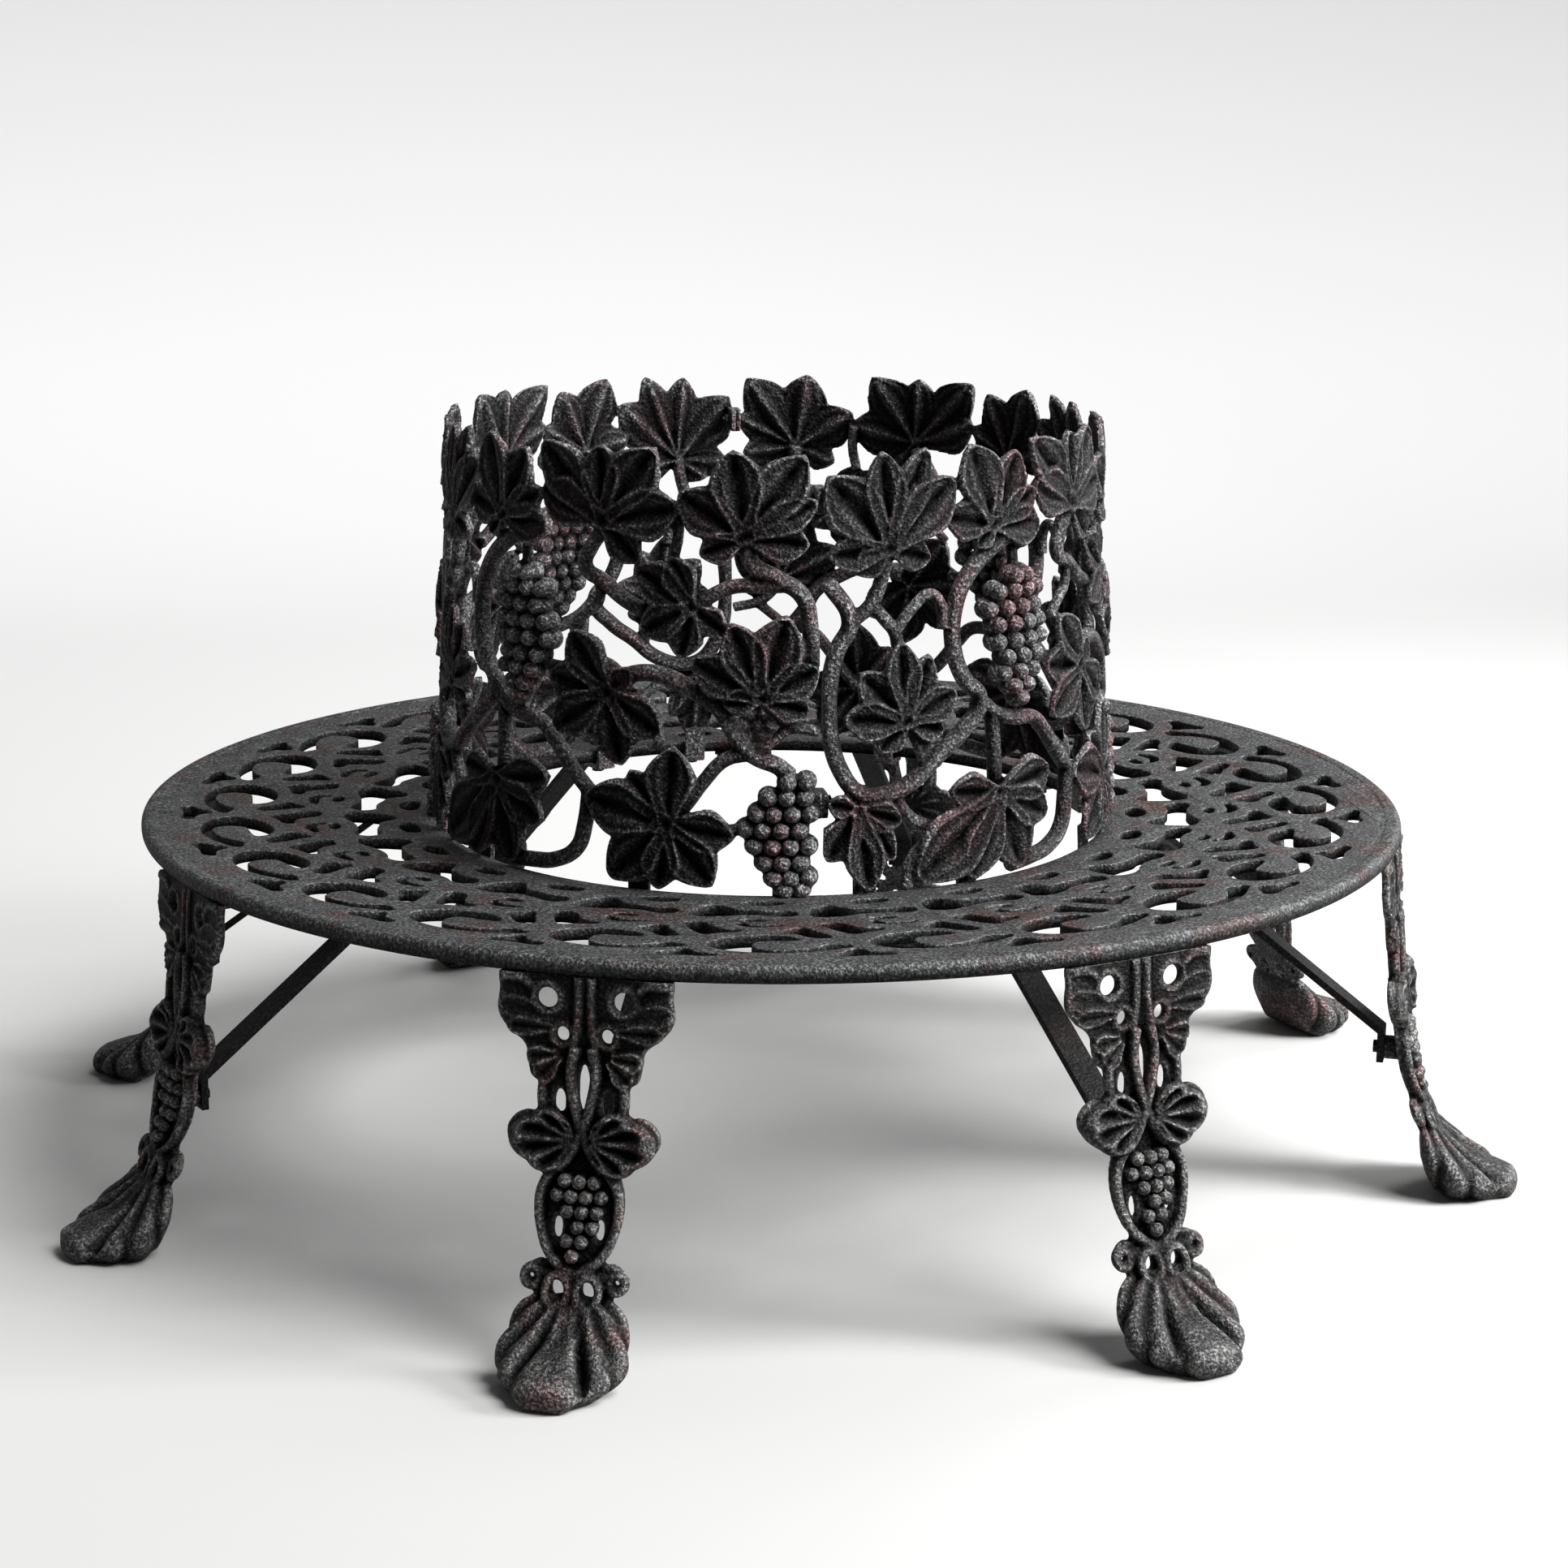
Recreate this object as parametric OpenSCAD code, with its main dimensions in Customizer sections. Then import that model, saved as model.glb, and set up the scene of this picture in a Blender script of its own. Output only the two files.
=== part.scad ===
// Circular tree bench in cast iron with a grape-vine back.
// The frame stands at the middle of the ring on the floor, Z is up, and one of the four joints
// faces -Y. The seat and the back are each cast in four equal quarters, and eight equal legs
// carry the rim. All sizes are in millimetres.

/* [Overall] */
// outer diameter of the seat
seat_diameter = 1500; // [1300:10:1800]
// height of the seat's outer edge above the floor
seat_height = 424; // [380:2:470]
// height of the back's leaf tips above the floor
overall_height = 893; // [780:1:1000]
// diameter of the round hole for the tree, at the seat
tree_hole_diameter = 796; // [700:2:900]

/* [Seat] */
// thickness of the pierced seat plate
seat_plate = 14; // [10:0.5:16]
// depth of the rolled outer rim
rim_depth = 20; // [14:1:30]
// how far the seat falls from its rim to the tree hole
seat_dish = 21; // [0:1:32]
// open line left between two neighbouring quarters
joint_gap = 0.6; // [0.4:0.1:2]
// number of scroll bays in one quarter
bays = 6; // [5:1:7]

/* [Back] */
// how far the back leans inward over its height
back_lean = 24; // [0:1:50]
// thickness of the leaves behind their rims
leaf_thickness = 8; // [5:0.5:12]
// height of a leaf's lobes above its rims
leaf_relief = 8; // [4:0.5:11]
// thickness of the main vine
vine = 18; // [14:0.5:23]
// width of one grape
berry = 24; // [18:1:28]

/* [Legs] */
// width of a leg's top plate
leg_width = 178; // [140:2:200]
// thickness of a leg's plate
leg_plate = 12; // [9:0.5:16]
// how far the toes reach beyond the seat's rim
toe_reach = 155; // [110:1:200]
// width of the leaf-shaped foot
foot_width = 138; // [100:2:160]

/* [Braces] */
// width of the flat bar
brace_width = 32; // [22:1:40]
// thickness of the flat bar
brace_thickness = 8; // [5:0.5:12]
// distance of the brace's upper end from the middle of the bench
brace_reach = 463; // [458:1:468]
// height of the brace's lower end above the floor
brace_height = 166; // [140:2:190]

/* [Fasteners] */
// shank diameter of the screws that hold legs, braces and back
screw = 8; // [6:1:10]
// play of a screw in its hole, all round
play = 0.3; // [0.2:0.05:0.6]

/* [Hidden] */
seat_r = seat_diameter / 2;
hole_r = tree_hole_diameter / 2;
// screws and bolts, a thread reaches this far into its boss
hex_across = screw * 1.7;
hex_high = screw * 0.65;
thread = 9;
hole_d = screw + 2 * play;
hole_clear = 0.6;
// the pierced back, its foot starts just above the seat's inner edge
ring_r0 = hole_r - 1;
back_z0 = seat_height - seat_dish + 1;
back_h = overall_height - back_z0;
leaf_edge = 3;
bunch_back = 7;
bunch_front = 4;
// bosses and lugs under the seat, lugs are given along the radius, across the joint and in height
boss_r = 9.5;
rim_boss_r = 11.5;
boss_sink = 3;
seat_lug = [30, 8, 22];
seat_lug_low = 9;
seat_lug_r = [hole_r + 30, seat_r - 105];
// lugs behind the back, bolted a little inside its face
back_lug = [28, 7.3, 28];
back_lug_in = 4;
back_bolt_in = 20;
lug_heights = [0.88, 0.2];
// flange of a leg under the rim
leg_angles = [22.5, 67.5];
flange_z = seat_height - rim_depth;
flange_t = 10;
flange_deep = 39;
flange_share = 0.81;
flange_screw_r = seat_r - 28;
flange_screw_t = 45;
// feet of the back, they pass down inside the hole and turn out under the seat
tab_angles = [7, 25.5, 60, 84];
tab_r = hole_r + 15;
tab_drop = 2;
tab_z = seat_height - seat_dish - seat_plate - tab_drop;
tab_t = 8;
tab_end = 11;
tab_w = 26;
strap_gap = 3;
strap_t = 5;
strap_rise = 18;
// seat and boss of the braces
brace_seat_drop = 4;
brace_top_z = seat_top(brace_reach) - seat_plate - brace_seat_drop;
brace_boss_r = 14;
brace_face_r = seat_r - 6;

iron = [0.17, 0.17, 0.17];
worn_iron = [0.26, 0.26, 0.26];
bolt_iron = [0.12, 0.11, 0.11];

// height of the seat's upper face at a distance from the middle
function seat_top(r) = seat_height - seat_dish * (seat_r - r) / (seat_r - hole_r);

// height of the bolts under the seat's joints, their heads clear the plate
function seat_bolt_z(r) = seat_top(r) - seat_plate - hex_across * 0.58 - hole_clear;

// turn of a quarter, a joint faces -Y
function quarter_turn(k) = 90 * (k - 1) - 90;

// a point given as an angle inside its bay and a share of the way from hole to rim
function bay_point(bay, p) =
    let (a = (bay + p[0]) * 90 / bays, r = hole_r + p[1] * (seat_r - hole_r))
    [r * cos(a), r * sin(a)];

// a closed smooth curve through a few points
function curve(p, steps) =
    let (n = len(p))
    [for (i = [0 : n - 1], k = [0 : steps - 1])
        let (a = p[(i + n - 1) % n], b = p[i], c = p[(i + 1) % n], d = p[(i + 2) % n], t = k / steps)
        b + (c - a) * t / 2 + (2 * a - 5 * b + 4 * c - d) * t * t / 2
            + (3 * b - a - 3 * c + d) * t * t * t / 2];

// openings of one bay: angle as a share of the bay, radius as a share of the seat's width
scroll_cut = [[0.07, 0.69], [0.17, 0.773], [0.49, 0.814], [0.82, 0.776], [0.95, 0.728], [0.81, 0.702],
    [0.65, 0.758], [0.42, 0.772], [0.345, 0.702], [0.44, 0.656], [0.645, 0.636], [0.56, 0.588],
    [0.335, 0.577], [0.15, 0.622]];
rim_cut = [[-0.195, 0.856], [-0.02, 0.862], [0.165, 0.85], [0.04, 0.812], [-0.05, 0.768],
    [-0.125, 0.808]];
slant_cut = [[0.535, 0.53], [0.72, 0.608], [0.845, 0.612], [0.795, 0.542], [0.675, 0.464]];
stem_cut = [[0, 0.574], [0.255, 0.512], [0.06, 0.464], [-0.065, 0.408], [-0.2, 0.422],
    [-0.095, 0.51]];
crescent_cut = [[0.24, 0.394], [0.218, 0.436], [0.365, 0.467], [0.547, 0.435], [0.347, 0.43]];
comma_cut = [[0.22, 0.367], [0.33, 0.386], [0.43, 0.366], [0.32, 0.347]];
tulip_cut = [[-0.213, 0.307], [-0.07, 0.328], [0.16, 0.301], [0.36, 0.29], [0.6, 0.31],
    [0.68, 0.262], [0.52, 0.228], [0.2, 0.213], [0.04, 0.166], [-0.12, 0.162], [-0.21, 0.235]];
oval_cut = [[0.173, 0.112], [0.32, 0.153], [0.58, 0.122], [0.42, 0.084]];
all_cuts = [scroll_cut, rim_cut, slant_cut, stem_cut, crescent_cut, comma_cut, tulip_cut, oval_cut];

module seat_openings() {
    for (bay = [0 : bays])
        for (cut = all_cuts)
            polygon(curve([for (p = cut) bay_point(bay, p)], 2));
}

// section of the plate and its rolled rim, radius against height
module seat_section() {
    nose = rim_depth / 2;
    polygon(concat(
        [[hole_r, seat_top(hole_r) - seat_plate], [hole_r, seat_top(hole_r) - 2],
         [hole_r + 2, seat_top(hole_r + 2)], [seat_r - 16, seat_top(seat_r - 16)]],
        [for (a = [80 : -20 : -80]) [seat_r - nose + nose * cos(a), seat_height - nose + nose * sin(a)]],
        [[seat_r - 14, seat_height - rim_depth], [seat_r - 19, seat_height - rim_depth + 3],
         [seat_r - 24, seat_top(seat_r - 24) - seat_plate]]));
}

// places something at both ends of a quarter
module at_both_ends() {
    children();
    mirror([1, -1, 0]) children();
}

// half the joint line comes off each end of a quarter
module joint_lines() {
    at_both_ends() translate([-20, -20, 0]) cube([seat_r + 40, 20 + joint_gap / 2, overall_height + 50]);
}

module seat_bosses() {
    for (a = leg_angles) rotate(a) {
        for (t = [-flange_screw_t, flange_screw_t]) translate([flange_screw_r, t, flange_z])
            cylinder(r = rim_boss_r, h = rim_depth - boss_sink, $fn = 32);
        translate([brace_reach, 0, brace_top_z])
            cylinder(r = boss_r, h = seat_top(brace_reach) - brace_top_z - boss_sink, $fn = 32);
    }
    for (a = tab_angles) rotate(a) translate([tab_r, 0, tab_z])
        cylinder(r = boss_r, h = seat_top(tab_r) - tab_z - boss_sink, $fn = 32);
}

// blind holes for the screws, nothing shows on top
module seat_holes() {
    deep = thread + 2;
    for (a = leg_angles) rotate(a) {
        for (t = [-flange_screw_t, flange_screw_t]) translate([flange_screw_r, t, flange_z - 1])
            cylinder(d = hole_d, h = deep, $fn = 24);
        translate([brace_reach, 0, brace_top_z - 1]) cylinder(d = hole_d, h = deep, $fn = 24);
    }
    for (a = tab_angles) rotate(a) translate([tab_r, 0, tab_z - 1])
        cylinder(d = hole_d, h = deep, $fn = 24);
    at_both_ends() for (r = seat_lug_r) translate([r, -1, seat_bolt_z(r)]) rotate([-90, 0, 0])
        cylinder(d = hole_d, h = seat_lug[1] + 2, $fn = 24);
}

module seat_quarter() {
    difference() {
        union() {
            difference() {
                rotate_extrude(angle = 90, $fn = 180) seat_section();
                linear_extrude(seat_height + rim_depth) seat_openings();
            }
            at_both_ends() for (r = seat_lug_r)
                translate([r - seat_lug[0] / 2, 0, seat_bolt_z(r) - seat_lug_low]) cube(seat_lug);
            seat_bosses();
        }
        seat_holes();
        joint_lines();
    }
}

// radius of the back's outer face at a height
function ring_r(z) = ring_r0 - back_lean * (z - back_z0) / back_h;

// the back is drawn in degrees and in heights from 404 to 893, and is stretched to its real height
drawn = [404, 893];
stretch = back_h / (drawn[1] - drawn[0]);
deg_mm = (ring_r0 - back_lean / 2) * PI / 180;
function back_z(z) = back_z0 + (z - drawn[0]) * stretch;

// a point on the back: turn in degrees, height, and depth outward from its face
function on_ring(turn, z, d) =
    let (zz = back_z(z), r = ring_r(zz) + d) [r * cos(turn), r * sin(turn), zz];

// a stem through points [degrees, height], bevelled towards the front, thin stems lie deeper
module stem(share, path) {
    n = len(path);
    half = share * vine / 2;
    deep = vine / 6 + half * 0.35;
    up = half * 0.3;
    section = [[-1, -deep], [1, -deep], [0.6, up], [-0.6, up]];
    pts = [for (i = [0 : n - 1])
        let (a = path[max(i - 1, 0)], b = path[min(i + 1, n - 1)],
             step = [(b[0] - a[0]) * deg_mm, (b[1] - a[1]) * stretch], way = step / norm(step))
        for (q = section) on_ring(path[i][0] + way[1] * half * q[0] / deg_mm,
            path[i][1] - way[0] * half * q[0] / stretch, q[1])];
    skin = [for (i = [0 : n - 2]) for (k = [0 : 3])
        let (p = 4 * i + k, q = 4 * i + (k + 1) % 4) [p, q, q + 4, p + 4]];
    polyhedron(pts, concat([for (f = skin) each [[f[0], f[1], f[2]], [f[0], f[2], f[3]]]],
        [[3, 2, 1, 0], [4 * n - 4, 4 * n - 3, 4 * n - 2, 4 * n - 1]]), convexity = 6);
}

// a leaf of several lobes round a hollow middle, lobes listed counter-clockwise
module leaf(base, tips) {
    n = len(tips);
    v = [for (t = tips) [(t[0] - base[0]) * deg_mm, t[1] - base[1]]];
    lng = [for (p = v) norm(p)];
    raw = [for (p = v) atan2(p[1], p[0])];
    ang = [for (a = raw) a < raw[0] - 0.01 ? a + 360 : a];
    gap = [for (i = [0 : n - 1]) i < n - 1 ? ang[i + 1] - ang[i] : 360 - (ang[n - 1] - ang[0])];
    last = min(60, gap[n - 1] / 2);
    rim = [for (i = [0 : n - 1]) each [
        [lng[i] * 0.84, ang[i] - (i == 0 ? last : gap[i - 1]) * 0.31],
        [lng[i], ang[i]],
        [lng[i] * 0.84, ang[i] + (i == n - 1 ? last : gap[i]) * 0.31],
        i < n - 1 ? [min(lng[i], lng[i + 1]) * 0.58, ang[i] + gap[i] / 2] : [8, ang[i] + gap[i] / 2]]];
    m = len(rim);
    function spot(q, d) = on_ring(base[0] + q[0] * cos(q[1]) / deg_mm, base[1] + q[0] * sin(q[1]), d);
    // front rim, then rear points behind every tip and notch, ridges and the middle
    pts = concat([for (q = rim) spot(q, leaf_edge)],
        [for (i = [0 : n - 1]) for (k = [1, 3]) spot(rim[4 * i + k], -leaf_thickness)],
        [for (i = [0 : n - 1]) spot([lng[i] * 0.6, ang[i]], leaf_relief)],
        [spot([0, 0], leaf_edge * 0.6), spot([0, 0], -leaf_thickness)]);
    mid = m + 3 * n;
    faces = [for (i = [0 : n - 1]) each
        let (v0 = (4 * i - 1 + m) % m, s1 = 4 * i, tip = 4 * i + 1, s2 = 4 * i + 2, v1 = 4 * i + 3,
             rv0 = m + (2 * i - 1 + 2 * n) % (2 * n), rtip = m + 2 * i, rv1 = m + 2 * i + 1,
             top = m + 2 * n + i)
        [[mid, top, v0], [v0, top, s1], [s1, top, tip], [tip, top, s2], [s2, top, v1], [v1, top, mid],
         [v0, s1, rv0], [s1, rtip, rv0], [s1, tip, rtip], [tip, s2, rtip], [s2, rv1, rtip], [s2, v1, rv1],
         [mid + 1, rv0, rtip], [mid + 1, rtip, rv1]]];
    polyhedron(pts, faces, convexity = 8);
}

// a bunch of grapes: a tapering body through [height, left, right] with berries on its front
module bunch(body, berries) {
    n = len(body);
    pts = [for (b = body) each [on_ring(b[1], b[0], -bunch_back), on_ring(b[2], b[0], -bunch_back),
        on_ring(b[2] - 1, b[0], bunch_front), on_ring(b[1] + 1, b[0], bunch_front)]];
    polyhedron(pts, concat(
        [for (i = [0 : n - 2]) for (k = [0 : 3]) each
            let (p = 4 * i + k, q = 4 * i + (k + 1) % 4) [[p, q + 4, q], [p, p + 4, q + 4]]],
        [[0, 1, 2, 3], [4 * n - 1, 4 * n - 2, 4 * n - 3, 4 * n - 4]]), convexity = 4);
    for (b = berries) translate(on_ring(b[0], b[1], 1)) rotate([0, 90, b[0]])
        cylinder(r1 = berry / 2, r2 = berry / 4, h = berry * 0.375, $fn = 5);
}

back_leaves = [
    [[11, 782], [[18.5, 768], [22.9, 856], [17.8, 893], [9.8, 890], [0.6, 862], [0.6, 776], [5, 756]]],
    [[31, 800], [[42.3, 792], [41, 834], [36.8, 879], [26, 893], [20.9, 812], [27, 776]]],
    [[53.2, 808], [[60, 764], [67, 826], [62.5, 892], [52.6, 893], [40.3, 891], [40.6, 838]]],
    [[77.5, 797], [[88, 788], [89.4, 836], [87.3, 887], [75.3, 893], [66.3, 842], [70, 776]]],
    [[68.9, 720], [[74.5, 692], [65.3, 774], [59.2, 760], [60.2, 688], [67, 662]]],
    [[80.4, 622], [[88, 607], [89.4, 656], [84.3, 714], [75.3, 705], [68.8, 663], [74, 616]]],
    [[54.7, 620], [[57.3, 539], [64.4, 577], [59, 647], [47.4, 685], [43, 632], [44.4, 572]]],
    [[65.2, 480], [[76.3, 468], [66.2, 567], [58.6, 536], [50.8, 504], [55.5, 413], [64, 405],
        [72.7, 412]]],
    [[5.6, 497], [[12.9, 481], [0.6, 506], [0.6, 440], [7.4, 405], [11.6, 438]]],
    [[31.3, 500], [[43.6, 516], [21.2, 509], [15, 412], [25, 405], [36, 407], [42.6, 464]]],
    [[13.8, 592], [[20.5, 578], [22.8, 622], [18, 665], [12.7, 683], [5.9, 649], [3.1, 598], [9, 560]]]
];

// thickness as a share of the main vine's, then the points of the stem
back_stems = [
    [1, [[0.9, 748], [4.6, 703], [2.2, 650], [1.8, 580], [9, 511], [20, 548], [28.2, 600],
        [23.6, 650], [24.4, 732], [31, 771], [39.6, 790]]],
    [0.83, [[10.8, 776], [8.2, 722], [4.4, 704]]],
    [0.78, [[8.2, 722], [12, 692], [12.7, 664]]],
    [0.67, [[12, 692], [15.6, 717], [18.8, 728], [20.7, 712], [20.9, 690]]],
    [0.83, [[28, 608], [33, 584], [41, 574], [44.5, 552], [51.5, 502]]],
    [0.83, [[31, 590], [31.4, 506]]],
    [0.89, [[51, 502], [50.3, 468], [47.5, 434], [41.5, 418], [37, 414]]],
    [0.61, [[13.8, 588], [16.2, 560], [17.6, 536]]],
    [0.61, [[18.6, 588], [17.8, 540]]],
    [0.72, [[12.4, 514], [14.2, 486], [18.6, 470], [25, 474]]],
    [0.89, [[24, 468], [17.2, 450], [14.2, 424], [14, 408]]],
    [1, [[56, 634], [62, 644], [70, 624], [75.4, 590], [79, 559], [86, 534]]],
    [0.89, [[79, 560], [74.5, 553], [70.6, 522], [66, 484]]],
    [0.67, [[80.4, 620], [84, 592], [89.3, 583]]],
    [0.67, [[79, 558], [84.5, 588]]],
    [1, [[77.6, 788], [78.6, 768], [83.6, 749], [87.4, 724], [88, 662]]],
    [0.83, [[69, 722], [75.5, 742], [84.6, 744]]],
    [0.89, [[53.2, 806], [49.4, 764], [54, 736], [62, 706]]],
    [0.56, [[46.6, 684], [52, 716], [53.5, 738]]],
    [0.67, [[36, 790], [36.4, 740]]],
    [1.1, [[25, 666], [28.6, 646], [31.6, 618], [28.4, 608]]],
    [0.67, [[41.6, 640], [46, 640]]],
    [0.67, [[74, 474], [79, 478]]]
];

upper_bunch = [[748, 34.5, 38.5], [712, 29, 42.5], [666, 30.2, 44.4], [600, 35, 37.4]];
upper_berries = [[36.6, 733], [32.6, 712], [40.4, 708], [36.4, 688], [32.2, 666], [41.4, 679],
    [40.6, 650], [35, 642], [37.2, 616]];
lower_bunch = [[540, 84, 88.6], [500, 78.6, 89.4], [470, 77.4, 89.4], [406, 83, 88.4]];
lower_berries = [[86.4, 522], [82, 502], [87, 490], [80.6, 476], [85, 460], [82.4, 440], [86.4, 424]];

// side view of a foot of the back, distance from the middle against height
module foot_side() {
    in_r = hole_r - strap_gap - strap_t;
    polygon([[in_r, tab_z - tab_t], [tab_r + tab_end, tab_z - tab_t], [tab_r + tab_end, tab_z],
        [in_r + strap_t, tab_z], [in_r + strap_t, back_z0 + strap_rise], [in_r, back_z0 + strap_rise]]);
}

module back_quarter() {
    difference() {
        union() {
            for (l = back_leaves) leaf(l[0], l[1]);
            for (s = back_stems) stem(s[0], s[1]);
            bunch(upper_bunch, upper_berries);
            bunch(lower_bunch, lower_berries);
            // lugs behind both ends, where neighbouring quarters are bolted together
            at_both_ends() for (h = lug_heights) let (z = back_z0 + h * back_h)
                translate([ring_r(z) - back_lug_in - back_lug[0], 0, z - back_lug[2] / 2]) cube(back_lug);
            for (a = tab_angles) rotate(a) translate([0, tab_w / 2, 0]) rotate([90, 0, 0])
                linear_extrude(tab_w) foot_side();
        }
        at_both_ends() for (h = lug_heights) let (z = back_z0 + h * back_h)
            translate([ring_r(z) - back_bolt_in, -1, z]) rotate([-90, 0, 0])
                cylinder(d = hole_d, h = back_lug[1] + 2, $fn = 8);
        for (a = tab_angles) rotate(a) translate([tab_r, 0, tab_z - tab_t - 1])
            cylinder(d = hole_d, h = tab_t + 2, $fn = 8);
        joint_lines();
    }
}

// middle line of a leg: height as a share of the seat height, distance outward from the rim
leg_line = [[0.17, 48], [0.236, 36], [0.354, 20], [0.472, 10], [0.59, 3], [0.74, -3], [0.953, -9]];
function leg_x(z) = seat_r + lookup(z / seat_height, leg_line);
leg_tall = seat_height / 424;
leg_wide = leg_width / 178;

// a flat part of the leg, drawn in width and height, tilted to follow the leg's side view
module leg_panel(low, high, thick) {
    rise = (high - low) * leg_tall;
    run = leg_x(low * leg_tall) - leg_x(high * leg_tall);
    translate([leg_x(low * leg_tall), 0, low * leg_tall]) rotate([0, -atan2(run, rise), 0])
        translate([-leg_plate / 2, 0, 0]) rotate([90, 0, 90]) linear_extrude(thick)
            scale([leg_wide, leg_tall]) translate([0, -low]) children();
}

// a line of even width through points
module line(half, path) {
    back = strip_side(path, -half);
    polygon(concat(strip_side(path, half), [for (i = [len(path) - 1 : -1 : 0]) back[i]]));
}

module both_sides() {
    children();
    mirror([1, 0]) children();
}

top_edge = [[0, 408], [88, 408], [90, 385], [92, 366], [87, 348], [74, 337], [60, 330], [61, 314],
    [54, 298], [44, 292], [30, 292], [27, 304], [14, 312], [7, 330], [0, 334]];

module top_plate() {
    difference() {
        both_sides() polygon(top_edge);
        both_sides() {
            translate([40, 380]) circle(r = 10.5, $fn = 40);
            translate([23.5, 345]) circle(r = 6.5, $fn = 30);
        }
    }
}

// raised leafy folds on the shoulders of the top plate
module top_folds() {
    both_sides() {
        line(4, [[12, 398], [10, 360], [18, 330], [34, 316]]);
        line(4.5, [[88, 372], [66, 352], [44, 350], [30, 362]]);
        line(4, [[68, 340], [50, 338], [36, 334]]);
        translate([47, 308]) circle(r = 9, $fn = 30);
    }
}

module crossing_stems() {
    both_sides() {
        line(5.5, [[42, 300], [42, 276], [34, 246], [26, 226]]);
        line(5, [[7, 334], [12, 308], [10, 280], [0, 240], [-18, 214]]);
    }
}

module knot_leaves() {
    both_sides() {
        polygon([[4, 232], [22, 252], [40, 262], [60, 262], [75, 254], [79, 246], [82, 236], [78, 224],
            [66, 218], [60, 210], [44, 203], [30, 204], [14, 212]]);
    }
}

module knot_veins() {
    both_sides() {
        line(3.5, [[12, 226], [34, 244], [60, 254]]);
        line(3.5, [[14, 222], [44, 230], [74, 237]]);
        line(3.5, [[16, 216], [38, 213], [58, 216]]);
    }
}

module grape_frame() {
    both_sides() line(5.5, [[10, 220], [28, 206], [38, 188], [41, 168], [38, 146], [29, 126],
        [14, 112], [-6, 100]]);
    // web behind the grapes, open beside their lower half
    difference() {
        polygon([[0, 214], [26, 204], [36, 188], [39, 168], [36, 146], [27, 126], [0, 106],
            [-27, 126], [-36, 146], [-39, 168], [-36, 188], [-26, 204]]);
        both_sides() polygon([[25, 160], [29, 148], [22, 134], [17, 138], [20, 150]]);
    }
}

module loops() {
    difference() {
        union() {
            both_sides() {
                translate([17, 91]) scale([1, 1.15]) circle(r = 15, $fn = 48);
                translate([43, 101]) circle(r = 11, $fn = 40);
                line(5, [[0, 106], [24, 104], [42, 104]]);
            }
            polygon([[-38, 66], [38, 66], [40, 84], [12, 96], [-12, 96], [-40, 84]]);
        }
        both_sides() {
            translate([16, 90]) scale([0.75, 1.25]) circle(r = 6.5, $fn = 30);
            translate([44, 101]) circle(r = 3.2, $fn = 24);
        }
    }
}

// height of a row of grapes, then how many
leg_berry_r = 7.4;
grape_rows = [[197, 3], [183, 4], [168, 3], [154, 4], [140, 3], [126, 2], [113, 1]];

module leg_grapes() {
    for (row = grape_rows) for (k = [0 : row[1] - 1])
        translate([leg_x(row[0] * leg_tall) + 5, (k - (row[1] - 1) / 2) * 2 * leg_berry_r * leg_wide,
            row[0] * leg_tall]) sphere(r = leg_berry_r, $fn = 24);
}

// the foot, a folded leaf: distance beyond the rim, half width, lowest and highest point, fold depth
foot_stations = [[46, 47, 40, 85, 0.3], [60, 61, 6, 79, 0.6], [78, 68, 0, 71, 1], [100, 66, 0, 62, 0.8],
    [120, 55, 0, 54, 0.4], [137, 41, 0, 46, 0.1], [149, 29, 2, 37, 0], [155, 15, 9, 27, 0]];
// one section, from the middle of the sole to the crest: across, up, and how much a fold lowers it
foot_half = [[0.74, 0, 0], [0.96, 0.24, 0], [1, 0.52, 0], [0.8, 0.76, 0.14], [0.52, 0.94, 0],
    [0.22, 0.97, 0.16]];
foot_ring = concat([for (i = [5 : -1 : 0]) [-foot_half[i][0], foot_half[i][1], foot_half[i][2]]],
    foot_half, [[0, 1, 0]]);

module foot() {
    n = len(foot_stations);
    m = len(foot_ring);
    pts = [for (s = foot_stations) for (q = foot_ring)
        [seat_r + s[0] * toe_reach / 155, q[0] * s[1] * foot_width / 134,
         (s[2] + (q[1] - q[2] * s[4]) * (s[3] - s[2])) * leg_tall]];
    faces = concat(
        [for (i = [0 : n - 2]) for (k = [0 : m - 1]) each
            let (p = m * i + k, q = m * i + (k + 1) % m) [[p, p + m, q], [q, p + m, q + m]]],
        [[for (k = [0 : m - 1]) k], [for (k = [m - 1 : -1 : 0]) m * (n - 1) + k]]);
    polyhedron(pts, faces, convexity = 3);
}

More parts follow.
